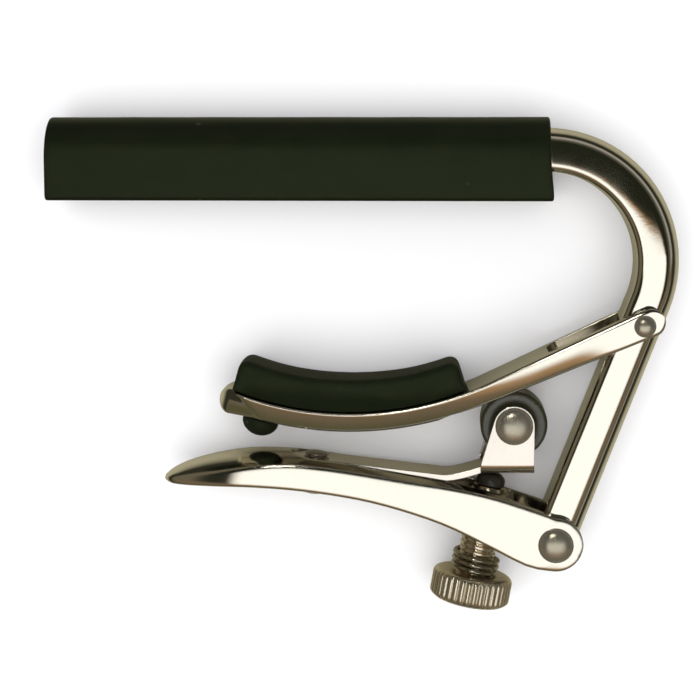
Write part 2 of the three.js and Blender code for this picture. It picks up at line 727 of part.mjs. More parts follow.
function armPieces() {
  const group = new THREE.Group();
  const pivot = piece('arm_pivot_rivet', rivet(ARM_RIVET, ARM.halfWidth), RIVET_STEEL);
  pivot.position.set(ARM_PIVOT.x, ARM_PIVOT.y, 0);
  group.add(piece('swing_arm', swingArm(), NICKEL));
  group.add(piece('neck_pad', neckPad(), BLACK_RUBBER));
  group.add(pivot);
  return group;
}

function bracketPieces() {
  const group = new THREE.Group();
  const wheel = piece('roller', roller(), BLACK_PLASTIC);
  const axle = piece('roller_axle', rivet(AXLE, CLEVIS.halfWidth), RIVET_STEEL);
  wheel.position.set(ROLLER.centre.x, ROLLER.centre.y, 0);
  axle.position.copy(wheel.position);
  group.add(piece('roller_bracket', rollerBracket(), NICKEL));
  group.add(wheel);
  group.add(axle);
  return group;
}

function screwPieces() {
  const group = new THREE.Group();
  group.position.set(SCREW.top.x, SCREW.top.y, 0);
  group.rotation.z = -SCREW.tilt;
  group.add(piece('thumb_screw', thumbScrew(), NICKEL));
  group.add(piece('screw_tip', screwTip(), BLACK_PLASTIC));
  group.add(piece('friction_spring', frictionSpring(), RIVET_STEEL));
  return group;
}

function leverPieces() {
  const group = new THREE.Group();
  const strapRivet = piece('bracket_rivet', bracketRivet(), RIVET_STEEL);
  strapRivet.position.set(STRAP.root.x, STRAP.root.y, 0);
  strapRivet.rotation.z = -STRAP_SLOPE;
  group.add(piece('lever', lever(), NICKEL));
  group.add(piece('lever_pivot_rivet', rivet(LEVER_RIVET, LEVER.halfWidth), RIVET_STEEL));
  group.add(strapRivet);
  group.add(bracketPieces());
  group.add(screwPieces());
  return group;
}

const capo = new THREE.Group();
capo.add(framePieces(), armPieces(), leverPieces());

const extent = new THREE.Box3().setFromObject(capo, true);
const middle = extent.getCenter(new THREE.Vector3());
capo.position.set(-middle.x, -middle.y, -extent.min.z);

export default capo;
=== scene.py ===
"""Looks of a guitar capo around its fixed frame.

The capo lies on its side: X runs along the string bar, Y from the lever up to the string bar and
Z across the width. The hook, lever, bracket, axle, rivets and screw tip keep their frame shapes
and get smooth shading and a finish. The arm casting, the rubber parts, the threaded screw with its
knob, the spring and the roller are built here.
"""

import json
import logging
import math
from dataclasses import dataclass
from enum import Enum
from functools import lru_cache, partial

import bmesh
import bpy
from mathutils import Matrix, Vector, noise


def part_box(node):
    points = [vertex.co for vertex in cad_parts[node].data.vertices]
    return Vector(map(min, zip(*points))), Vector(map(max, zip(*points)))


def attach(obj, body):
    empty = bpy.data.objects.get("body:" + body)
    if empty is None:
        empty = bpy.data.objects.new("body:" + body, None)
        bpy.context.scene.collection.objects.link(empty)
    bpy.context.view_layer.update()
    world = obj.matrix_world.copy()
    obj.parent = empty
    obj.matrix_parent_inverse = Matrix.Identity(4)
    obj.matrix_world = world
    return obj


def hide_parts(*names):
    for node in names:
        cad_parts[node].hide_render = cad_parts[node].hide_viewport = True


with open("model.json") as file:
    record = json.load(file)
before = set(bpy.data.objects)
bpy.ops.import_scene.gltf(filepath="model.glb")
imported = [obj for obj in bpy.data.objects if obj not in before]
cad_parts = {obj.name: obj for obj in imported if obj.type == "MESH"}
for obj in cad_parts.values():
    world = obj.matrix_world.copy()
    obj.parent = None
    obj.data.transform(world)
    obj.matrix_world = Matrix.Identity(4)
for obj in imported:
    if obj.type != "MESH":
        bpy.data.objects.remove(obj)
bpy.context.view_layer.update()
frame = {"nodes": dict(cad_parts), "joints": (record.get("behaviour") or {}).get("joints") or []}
LOG = logging.getLogger("capo")

MM = 0.001
TAU = 2 * math.pi

# Shading
EDGE_SAMPLES = 8
EDGE_FACING = (0.72, 0.99)
HAZE_BAND = (0.35, 0.7)
PIT_BAND = (0.3, 0.75)
SPECK_BAND = (0.05, 0.22)
GENTLE_EDGE = math.radians(36)
FLAT_WEIGHT = 95
WELD_GAP = 0.001 * MM

# Steps round holes and turned pieces
ROUND_STEPS = 48


class Body(Enum):
    """Bodies of the frame that the pieces built here ride on."""

    FRAME = "frame"
    ARM = "swing_arm"
    ROLLER = "roller"
    SCREW = "thumb_screw"


class Slot(Enum):
    """Finish slots of the record. The pieces built here are handed one, but nothing reads it."""

    NICKEL = "nickel_plated_brass"
    RIVET = "rivet_metal"
    SLEEVE = "sleeve_rubber"
    PAD = "pad_rubber"
    ROLLER = "roller_plastic"


# ---- Places and curves ----


def joint(name: str) -> dict:
    """Looks up one joint of the frame.

    Args:
        name: The joint's name.

    Returns:
        The joint's record with its place and axis.
    """
    return next(j for j in frame["joints"] if j["name"] == name)


def pivot(name: str) -> Vector:
    """Place of a hinge joint, in metres."""
    return Vector(joint(name)["pos_m"])


def smooth_step(low: float, high: float, value: float) -> float:
    """Smooth change from 0 at low to 1 at high."""
    share = min(1.0, max(0.0, (value - low) / (high - low)))
    return share * share * (3 - 2 * share)


def arc(centre: tuple, radius: tuple, start: float, end: float, steps: int) -> list[tuple]:
    """Points on an elliptical arc.

    Args:
        centre: The arc's centre.
        radius: Its two half axes.
        start: First angle in radians.
        end: Last angle in radians.
        steps: Number of chords.

    Returns:
        The points in order, both ends included.
    """
    angles = [start + (end - start) * i / steps for i in range(steps + 1)]
    return [(centre[0] + radius[0] * math.cos(a), centre[1] + radius[1] * math.sin(a))
            for a in angles]


def quarter_turn(steps: int) -> list[float]:
    """Angles of a quarter turn, both ends included."""
    return [i / steps * math.pi / 2 for i in range(steps + 1)]


def about_y(radius: float, height: float, angle: float) -> Vector:
    """Place at a radius, height and angle about the Y axis."""
    return Vector((radius * math.cos(angle), height, radius * math.sin(angle)))


# ---- Shader building ----


class Sheet:
    """Short calls for building a node tree."""

    MIX_INPUTS = (0, 6, 7)
    MIX_RESULT = 2

    def __init__(self, tree: bpy.types.NodeTree) -> None:
        """Keeps the tree that the calls add to."""
        self.tree = tree

    def add(self, kind: str, **settings: object) -> bpy.types.Node:
        """Adds a node.

        Args:
            kind: The node's type name.
            settings: Attributes to set on it.

        Returns:
            The new node.
        """
        node = self.tree.nodes.new(kind)
        for key, value in settings.items():
            setattr(node, key, value)
        return node

    def feed(self, socket: bpy.types.NodeSocket, value: object) -> None:
        """Links a socket to an output, or sets its plain value."""
        if isinstance(value, bpy.types.NodeSocket):
            self.tree.links.new(value, socket)
        else:
            socket.default_value = value

    def math(self, operation: str, *values: object, clamp: bool = False) -> bpy.types.NodeSocket:
        """One math step.

        Args:
            operation: Name of the math operation.
            values: Its inputs, as outputs of other nodes or numbers.
            clamp: Whether the result is kept between 0 and 1.

        Returns:
            The result's socket.
        """
        node = self.add("ShaderNodeMath", operation=operation, use_clamp=clamp)
        for socket, value in zip(node.inputs, values):
            self.feed(socket, value)
        return node.outputs[0]

    def product(self, first: object, *others: object) -> bpy.types.NodeSocket:
        """Multiplies outputs of other nodes or numbers, one after the other."""
        for value in others:
            first = self.math("MULTIPLY", first, value)
        return first

    def rise(self, value: object, low: float, high: float,
             ends: tuple = (0.0, 1.0)) -> bpy.types.NodeSocket:
        """Smooth change of a value from 0 at low to 1 at high.

        Args:
            value: The value to change.
            low: Where the change starts.
            high: Where it ends.
            ends: Results at low and high.

        Returns:
            The result's socket.
        """
        node = self.add("ShaderNodeMapRange", interpolation_type="SMOOTHSTEP")
        for socket, setting in zip(node.inputs, (value, low, high, *ends)):
            self.feed(socket, setting)
        return node.outputs[0]

    def fall(self, value: object, low: float, high: float) -> bpy.types.NodeSocket:
        """Smooth change of a value from 1 at low to 0 at high."""
        return self.rise(value, low, high, (1.0, 0.0))

    def mix(self, share: object, first: object, second: object) -> bpy.types.NodeSocket:
        """Mixes two colours.

        Args:
            share: How much of the second colour.
            first: Colour at 0.
            second: Colour at 1.

        Returns:
            The mixed colour's socket.
        """
        node = self.add("ShaderNodeMix", data_type="RGBA")
        for place, value in zip(self.MIX_INPUTS, (share, first, second)):
            self.feed(node.inputs[place], value)
        return node.outputs[self.MIX_RESULT]

    def noise(self, scale: object, detail: float,
              stretch: tuple = (1, 1, 1)) -> bpy.types.NodeSocket:
        """Noise in the object's own space.

        Args:
            scale: Cells per metre.
            detail: Number of finer octaves.
            stretch: Scale along each axis.

        Returns:
            The noise value's socket.
        """
        place = self.add("ShaderNodeTexCoord").outputs["Object"]
        mapping = self.add("ShaderNodeMapping")
        mapping.inputs["Scale"].default_value = stretch
        self.feed(mapping.inputs["Vector"], place)
        node = self.add("ShaderNodeTexNoise")
        self.feed(node.inputs["Vector"], mapping.outputs[0])
        self.feed(node.inputs["Scale"], scale)
        self.feed(node.inputs["Detail"], detail)
        return node.outputs["Fac"]

    def bump(self, height: object, depth: float, strength: float = 1.0,
             normal: object = None) -> bpy.types.NodeSocket:
        """Bump from a height.

        Args:
            height: Height from 0 to 1.
            depth: Depth of the relief in metres.
            strength: Share of the effect.
            normal: Normal to start from, or none.

        Returns:
            The bumped normal's socket.
        """
        node = self.add("ShaderNodeBump")
        self.feed(node.inputs["Height"], height)
        node.inputs["Distance"].default_value = depth
        node.inputs["Strength"].default_value = strength
        if normal is not None:
            self.feed(node.inputs["Normal"], normal)
        return node.outputs[0]


def effect(name: str, inputs: dict, outputs: dict) -> tuple:
    """Starts a shared node group.

    Args:
        name: The group's name.
        inputs: Input names with their socket type and first value.
        outputs: Output names with their socket type.

    Returns:
        The group's tree, its sheet, its input node and its output node.
    """
    tree = bpy.data.node_groups.new(name, "ShaderNodeTree")
    for label, (kind, value) in inputs.items():
        socket = tree.interface.new_socket(label, in_out="INPUT", socket_type=kind)
        socket.default_value = value
    for label, kind in outputs.items():
        tree.interface.new_socket(label, in_out="OUTPUT", socket_type=kind)
    sheet = Sheet(tree)
    return tree, sheet, sheet.add("NodeGroupInput"), sheet.add("NodeGroupOutput")


@lru_cache(maxsize=None)
def soft_edges() -> bpy.types.ShaderNodeTree:
    """Shared effect: rounded-over edges, with a mask of where they are.

    Returns:
        A group with a Radius input, and Normal and Edge outputs.
    """
    tree, sheet, given, out = effect(
        "soft_edges",
        {"Radius": ("NodeSocketFloat", 0.3 * MM)},
        {"Normal": "NodeSocketVector", "Edge": "NodeSocketFloat"},
    )
    bevel = sheet.add("ShaderNodeBevel", samples=EDGE_SAMPLES)
    sheet.feed(bevel.inputs["Radius"], given.outputs["Radius"])
    facing = sheet.add("ShaderNodeVectorMath", operation="DOT_PRODUCT")
    sheet.feed(facing.inputs[0], bevel.outputs[0])
    sheet.feed(facing.inputs[1], sheet.add("ShaderNodeNewGeometry").outputs["Normal"])
    sheet.feed(out.inputs["Normal"], bevel.outputs[0])
    sheet.feed(out.inputs["Edge"], sheet.fall(facing.outputs["Value"], *EDGE_FACING))
    return tree


@lru_cache(maxsize=None)
def surface_grain() -> bpy.types.ShaderNodeTree:
    """Shared effect: broad haze and fine pits.

    Returns:
        A group with two scales in, and Haze and Pits values out.
    """
    tree, sheet, given, out = effect(
        "surface_grain",
        {"Haze Scale": ("NodeSocketFloat", 120.0), "Pit Scale": ("NodeSocketFloat", 2500.0)},
        {"Haze": "NodeSocketFloat", "Pits": "NodeSocketFloat"},
    )
    haze = sheet.noise(given.outputs["Haze Scale"], 2.0)
    pits = sheet.noise(given.outputs["Pit Scale"], 4.0)
    sheet.feed(out.inputs["Haze"], sheet.rise(haze, *HAZE_BAND))
    sheet.feed(out.inputs["Pits"], sheet.rise(pits, *PIT_BAND))
    return tree


@lru_cache(maxsize=None)
def dust_specks() -> bpy.types.ShaderNodeTree:
    """Shared effect: scattered tiny specks.

    Returns:
        A group with Scale and Amount in, and a Speck mask out.
    """
    tree, sheet, given, out = effect(
        "dust_specks",
        {"Scale": ("NodeSocketFloat", 700.0), "Amount": ("NodeSocketFloat", 0.1)},
        {"Speck": "NodeSocketFloat"},
    )
    cells = sheet.add("ShaderNodeTexVoronoi", feature="F1")
    sheet.feed(cells.inputs["Vector"], sheet.add("ShaderNodeTexCoord").outputs["Object"])
    sheet.feed(cells.inputs["Scale"], given.outputs["Scale"])
    chosen = sheet.add("ShaderNodeSeparateColor")
    sheet.feed(chosen.inputs[0], cells.outputs["Color"])
    rare = sheet.math("LESS_THAN", chosen.outputs[0], given.outputs["Amount"])
    spot = sheet.fall(cells.outputs["Distance"], *SPECK_BAND)
    sheet.feed(out.inputs["Speck"], sheet.product(rare, spot))
    return tree


def placed(sheet: Sheet, tree: bpy.types.ShaderNodeTree, **values: float) -> bpy.types.Node:
    """Places a shared effect in a material.

    Args:
        sheet: The material's sheet.
        tree: The effect's group.
        values: Input values, with _ for a space in the name.

    Returns:
        The group node.
    """
    node = sheet.add("ShaderNodeGroup", node_tree=tree)
    for key, value in values.items():
        sheet.feed(node.inputs[key.replace("_", " ")], value)
    return node


# ---- Finishes ----


@dataclass(frozen=True)
class Plating:
    """Polished or satin plate over metal.

    Edge radius and relief depths in millimetres, scales in cells per metre.
    """

    name: str
    tint: tuple
    worn: tuple
    roughness: float
    haze: float
    edge: float
    ripple: float
    pits: float
    wear: float
    streaks: tuple = (1, 1, 1)
    lines: float = 0.0
    metallic: float = 1.0
    haze_scale: float = 160.0
    pit_scale: float = 3200.0
    drag_scale: float = 900.0
    ripple_scale: float = 140.0
    stain: float = 0.045
    line_dulling: float = 0.25
    ripple_depth: float = 4.0
    line_depth: float = 0.01
    pit_strength: float = 0.6

    def material(self) -> bpy.types.Material:
        """Builds the metal: soft edges, hand-polished ripple, haze, fine pits and edge wear."""
        made, sheet, shader = new_material(self.name)
        edges = placed(sheet, soft_edges(), Radius=self.edge * MM)
        grain = placed(sheet, surface_grain(), Haze_Scale=self.haze_scale, Pit_Scale=self.pit_scale)
        drag = sheet.noise(self.drag_scale, 3.0, self.streaks)
        rubbed = sheet.product(edges.outputs["Edge"], grain.outputs["Haze"])
        worn = sheet.math("MULTIPLY", rubbed, self.wear, clamp=True)
        stained = sheet.mix(sheet.product(grain.outputs["Pits"], self.stain), self.tint, self.worn)
        sheet.feed(shader.inputs["Base Color"], sheet.mix(worn, stained, self.worn))
        shader.inputs["Metallic"].default_value = self.metallic
        hazed = sheet.math("MULTIPLY_ADD", grain.outputs["Haze"], self.haze, self.roughness)
        dragged = sheet.math("MULTIPLY_ADD", drag, self.lines * self.line_dulling, hazed)
        sheet.feed(shader.inputs["Roughness"], dragged)
        ripple = sheet.bump(sheet.noise(self.ripple_scale, 1.0),
                            self.ripple * self.ripple_depth * MM, 1.0, edges.outputs["Normal"])
        pitted = sheet.bump(grain.outputs["Pits"], self.pits * MM, self.pit_strength, ripple)
        lined = sheet.bump(drag, self.lines * self.line_depth * MM, 1.0, pitted)
        sheet.feed(shader.inputs["Normal"], lined)
        return made


@dataclass(frozen=True)
class Rubber:
    """Black rubber, extruded or moulded."""

    name: str
    dark: tuple
    bloom: tuple
    roughness: float
    specular: float
    streaks: tuple
    relief: float
    dust: tuple = (0.10, 0.10, 0.085, 1)
    dust_share: float = 0.35
    sheen: tuple = (0.78, 1.0, 0.58, 1)
    tone_parts: tuple = (0.7, 0.3)
    dulling: float = 0.16
    pit_depth: float = 0.004

    def material(self) -> bpy.types.Material:
        """Builds the rubber: faint bloom, drawn lines or mould grain, and specks of dust."""
        made, sheet, shader = new_material(self.name)
        grain = placed(sheet, surface_grain(), Haze_Scale=180.0, Pit_Scale=4200.0)
        dust = placed(sheet, dust_specks(), Scale=520.0, Amount=0.05)
        drawn = sheet.noise(1500.0, 3.0, self.streaks)
        drawn_part, haze_part = self.tone_parts
        hazed = sheet.product(grain.outputs["Haze"], haze_part)
        tone = sheet.math("MULTIPLY_ADD", drawn, drawn_part, hazed)
        bloomed = sheet.mix(tone, self.dark, self.bloom)
        dusty = sheet.product(dust.outputs["Speck"], self.dust_share)
        sheet.feed(shader.inputs["Base Color"], sheet.mix(dusty, bloomed, self.dust))
        shader.inputs["Specular IOR Level"].default_value = self.specular
        shader.inputs["Specular Tint"].default_value = self.sheen
        rough = sheet.math("MULTIPLY_ADD", tone, self.dulling, self.roughness)
        sheet.feed(shader.inputs["Roughness"], rough)
        lines = sheet.bump(drawn, self.relief * MM, 0.8)
        pitted = sheet.bump(grain.outputs["Pits"], self.pit_depth * MM, 0.7, lines)
        sheet.feed(shader.inputs["Normal"], pitted)
        return made


@dataclass(frozen=True)
class Moulding:
    """Hard black plastic."""

    name: str
    dark: tuple
    rubbed: tuple
    roughness: float
    specular: float
    edge: float = 0.2
    haze_share: float = 0.6
    dulling: float = 0.12
    pit_depth: float = 0.003

    def material(self) -> bpy.types.Material:
        """Builds the plastic: satin skin with lighter haze."""
        made, sheet, shader = new_material(self.name)
        edges = placed(sheet, soft_edges(), Radius=self.edge * MM)
        grain = placed(sheet, surface_grain(), Haze_Scale=300.0, Pit_Scale=5000.0)
        hazed = sheet.product(grain.outputs["Haze"], self.haze_share)
        sheet.feed(shader.inputs["Base Color"], sheet.mix(hazed, self.dark, self.rubbed))
        shader.inputs["Specular IOR Level"].default_value = self.specular
        rough = sheet.math("MULTIPLY_ADD", grain.outputs["Pits"], self.dulling, self.roughness)
        sheet.feed(shader.inputs["Roughness"], rough)
        pitted = sheet.bump(grain.outputs["Pits"], self.pit_depth * MM, 0.6,
                            edges.outputs["Normal"])
        sheet.feed(shader.inputs["Normal"], pitted)
        return made


def new_material(name: str) -> tuple:
    """Starts a material.

    Args:
        name: The material's name.

    Returns:
        The material, its sheet and its surface shader.
    """
    made = bpy.data.materials.new(name)
    made.use_nodes = True
    return made, Sheet(made.node_tree), made.node_tree.nodes["Principled BSDF"]


PLATE = (0.78, 0.745, 0.68, 1)
PLATE_WORN = (0.42, 0.35, 0.26, 1)
NICKEL = Plating("polished_nickel", PLATE, PLATE_WORN,
                 roughness=0.07, haze=0.05, edge=0.50, ripple=0.0045, pits=0.0004, wear=0.35)
ARM_NICKEL = Plating("cast_nickel", PLATE, PLATE_WORN,
                     roughness=0.08, haze=0.06, edge=0.12, ripple=0.0060, pits=0.0006, wear=0.6)
BAR_NICKEL = Plating("drawn_nickel", PLATE, PLATE_WORN,
                     roughness=0.035, haze=0.03, edge=0.45, ripple=0.0040, pits=0.0003, wear=0.3)
SHEET_NICKEL = Plating("plated_sheet", (0.77, 0.71, 0.66, 1), (0.34, 0.28, 0.20, 1),
                       roughness=0.12, haze=0.08, edge=0.15, ripple=0.0060, pits=0.0006, wear=0.6,
                       streaks=(0.2, 1, 1), lines=0.10)
TURNED_NICKEL = Plating("turned_nickel", (0.80, 0.72, 0.58, 1), (0.34, 0.27, 0.18, 1),
                        roughness=0.22, haze=0.10, edge=0.08, ripple=0.0020, pits=0.0010, wear=0.8)
RIVET_SATIN = Plating("peened_rivet", (0.41, 0.375, 0.30, 1), (0.22, 0.20, 0.15, 1),
                      roughness=0.21, haze=0.08, edge=0.15, ripple=0.0200, pits=0.0016, wear=0.6,
                      metallic=0.86)
WIRE_STEEL = Plating("spring_wire", (0.48, 0.44, 0.36, 1), (0.20, 0.17, 0.12, 1),
                     roughness=0.18, haze=0.12, edge=0.08, ripple=0.0020, pits=0.0010, wear=0.7)
SLEEVE_RUBBER = Rubber("extruded_rubber",
                       (0.0016, 0.0028, 0.0009, 1), (0.0056, 0.0072, 0.0027, 1),
                       roughness=0.40, specular=0.37, streaks=(0.015, 1, 1), relief=0.006)
PAD_RUBBER = Rubber("moulded_rubber",
                    (0.0060, 0.0085, 0.0038, 1), (0.0108, 0.0140, 0.0064, 1),
                    roughness=0.50, specular=0.16, streaks=(1, 1, 1), relief=0.004)
ROLLER_PLASTIC = Moulding("roller_plastic", (0.019, 0.019, 0.010, 1), (0.038, 0.036, 0.022, 1),
                          roughness=0.27, specular=0.95)
TIP_PLASTIC = Moulding("tip_plastic", (0.012, 0.012, 0.008, 1), (0.035, 0.032, 0.022, 1),
                       roughness=0.26, specular=0.4)


@lru_cache(maxsize=None)
def finish_of(finish: object) -> bpy.types.Material:
    """Material of a finish, built once."""
    return finish.material()


# ---- Mesh building ----


def linked(name: str, data: bpy.types.ID) -> bpy.types.Object:
    """Makes an object of a mesh, light or camera and adds it to the scene."""
    made = bpy.data.objects.new(name, data)
    bpy.context.scene.collection.objects.link(made)
    return made


def closed_shape(name: str, points: list, faces: list) -> bpy.types.Object:
    """Makes a closed shape with all of its faces outwards.

    Args:
        name: The shape's name.
        points: Its points in metres.
        faces: Its faces as point numbers.

    Returns:
        The new object.
    """
    mesh = bpy.data.meshes.new(name)
    mesh.from_pydata([tuple(p) for p in points], [], faces)
    mesh.validate()
    made = linked(name, mesh)
    work = bmesh.new()
    work.from_mesh(mesh)
    bmesh.ops.recalc_face_normals(work, faces=work.faces)
    work.to_mesh(mesh)
    work.free()
    return made


def make_piece(name: str, points: list, faces: list, finish: object, body: Body, slot: Slot,
               stands_for: str = "") -> bpy.types.Object:
    """Makes a piece of the capo from points and faces.

    Args:
        name: The piece's name.
        points: Its points in metres.
        faces: Its faces as point numbers.
        finish: The finish it gets.
        body: The body that it moves with.
        slot: The record's slot of its finish. Not used.
        stands_for: The frame node that it is shown in place of, if any.

    Returns:
        The new object.
    """
    made = closed_shape(name, points, faces)
    made.data.shade_smooth()
    made.data.materials.append(finish_of(finish))
    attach(made, body.value)
    if stands_for:
        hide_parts(stands_for)
    LOG.info("%s: %d faces on %s", name, len(made.data.polygons), body.value)
    return made


def ring_faces(rings: int, count: int, closed: bool = False) -> list[tuple]:
    """Faces between rings of equal count.

    Args:
        rings: Number of rings.
        count: Points in each ring.
        closed: Whether the last ring joins the first.

    Returns:
        Quads as point numbers.
    """
    faces = []
    for r in range(rings if closed else rings - 1):
        low, high = r * count, (r + 1) % rings * count
        for i in range(count):
            after = (i + 1) % count
            faces.append((low + i, low + after, high + after, high + i))
    return faces


def capped(rings: int, count: int) -> list[tuple]:
    """Faces between rings of equal count, with one face over each end."""
    ends = [tuple(range(count)), tuple(range((rings - 1) * count, rings * count))]
    return ring_faces(rings, count) + ends


def cap_with_fan(points: list, faces: list, start: int, count: int, height: float) -> None:
    """Closes one ring with a fan about a new point on the Y axis.

    Args:
        points: Points of the shape, which get the new one.
        faces: Faces of the shape, which get the fan.
        start: Number of the ring's first point.
        count: Points in the ring.
        height: Height of the new point.
    """
    centre = len(points)
    points.append(Vector((0, height, 0)))
    faces += [(centre, start + i, start + (i + 1) % count) for i in range(count)]


def lathe(profile: list[tuple], segments: int) -> tuple:
    """Turns a profile about the Y axis.

    Args:
        profile: Points as (radius, height). A first or last radius of 0 lies on the axis.
        segments: Steps round the axis.

    Returns:
        Points and faces.
    """
    inner = [p for p in profile if p[0] > 0]
    points = []
    for radius, height in inner:
        points += [about_y(radius, height, TAU * i / segments) for i in range(segments)]
    on_axis = [profile[0][0] == 0, profile[-1][0] == 0]
    faces = ring_faces(len(inner), segments, closed=not all(on_axis))
    for index, ring in ((0, 0), (-1, len(inner) - 1)):
        if on_axis[index]:
            cap_with_fan(points, faces, ring * segments, segments, profile[index][1])
    return points, faces


def along(axis: Vector, place: Vector) -> Matrix:
    """Transform that sets the Y axis of a turned shape on an axis through a place.

    Args:
        axis: The direction that Y turns to.
        place: Where the shape's origin goes.

    Returns:
        The transform.
    """
    turn = Vector((0, 1, 0)).rotation_difference(axis).to_matrix().to_4x4()
    return Matrix.Translation(place) @ turn


def wavy(point: Vector, size: float, cell: float, seed: float = 0.0) -> float:
    """Small smooth unevenness of a surface.

    Args:
        point: Place on the surface in metres.
        size: Largest deviation.
        cell: Size of one wave in metres.
        seed: Shift into another part of the pattern.

    Returns:
        The deviation at that place.
    """
    return size * noise.noise(point / cell + Vector((seed, seed, seed)))


@lru_cache(maxsize=None)
def smooth_by_angle() -> bpy.types.GeometryNodeTree:
    """Geometry group that shades smooth but keeps all but gentle edges sharp.

    Returns:
        The group, for a nodes modifier.
    """
    tree = bpy.data.node_groups.new("smooth_by_angle", "GeometryNodeTree")
    tree.interface.new_socket("Geometry", in_out="INPUT", socket_type="NodeSocketGeometry")
    tree.interface.new_socket("Geometry", in_out="OUTPUT", socket_type="NodeSocketGeometry")
    sheet = Sheet(tree)
    given, out = sheet.add("NodeGroupInput"), sheet.add("NodeGroupOutput")
    gentle = sheet.add("FunctionNodeCompare", data_type="FLOAT", operation="LESS_THAN")
    angle = sheet.add("GeometryNodeInputMeshEdgeAngle").outputs["Unsigned Angle"]
    sheet.feed(gentle.inputs[0], angle)
    sheet.feed(gentle.inputs[1], GENTLE_EDGE)
    faces = sheet.add("GeometryNodeSetShadeSmooth", domain="FACE")
    edges = sheet.add("GeometryNodeSetShadeSmooth", domain="EDGE")
    sheet.feed(faces.inputs["Geometry"], given.outputs[0])
    sheet.feed(edges.inputs["Geometry"], faces.outputs[0])
    sheet.feed(edges.inputs["Shade Smooth"], gentle.outputs[0])
    sheet.feed(out.inputs[0], edges.outputs[0])
    return tree


def dress(node: str, finish: object) -> None:
    """Gives a frame node its finish and smooth shading.

    Args:
        node: The node's name.
        finish: The finish it gets.
    """
    shown = frame["nodes"][node]
    shown.data.materials.clear()
    shown.data.materials.append(finish_of(finish))
    custom = shown.data.attributes.get("custom_normal")
    if custom is not None:
        shown.data.attributes.remove(custom)
    shade(shown)
    LOG.info("%s: dressed with %s", node, finish.name)


def shade(piece: bpy.types.Object) -> None:
    """Joins split corners, smooths gentle edges and keeps flat faces flat."""
    weld = piece.modifiers.new("joined_corners", "WELD")
    weld.merge_threshold = WELD_GAP
    shading = piece.modifiers.new("smooth_by_angle", "NODES")
    shading.node_group = smooth_by_angle()
    weighted = piece.modifiers.new("flat_faces", "WEIGHTED_NORMAL")
    weighted.keep_sharp = True
    weighted.weight = FLAT_WEIGHT


def prism(outline: list[tuple], low: float, high: float, place: Matrix) -> bpy.types.Object:
    """Cutter with an outline in X and Z that runs along Y.

    Args:
        outline: Points as (x, z) in metres.
        low: Where it starts along Y.
        high: Where it ends.
        place: Transform that sets it in place.

    Returns:
        The cutter.
    """
    points = [place @ Vector((x, y, z)) for y in (low, high) for x, z in outline]
    return closed_shape("cutter", points, capped(2, len(outline)))


def drill(radius: float, half_length: float, axis: Vector, place: Vector) -> bpy.types.Object:
    """Round cutter about an axis through a place."""
    turn = along(axis, place)
    side = [(radius, -half_length), (radius, half_length)]
    points, faces = lathe([(0, -half_length), *side, (0, half_length)], ROUND_STEPS)
    return closed_shape("cutter", [turn @ p for p in points], faces)


def carve(piece: bpy.types.Object, cutters: list) -> None:
    """Cuts shapes out of a piece and throws the cutters away.

    Args:
        piece: The piece to cut.
        cutters: The shapes that are taken away.
    """
    for shape in cutters:
        cut = piece.modifiers.new("cut", "BOOLEAN")
        cut.operation = "DIFFERENCE"
        cut.solver = "EXACT"
        cut.object = shape
    view = bpy.context.evaluated_depsgraph_get()
    carved = bpy.data.meshes.new_from_object(piece.evaluated_get(view))
    piece.modifiers.clear()
    piece.data = carved
    for shape in cutters:
        bpy.data.objects.remove(shape)


# ---- Sub-assemblies ----


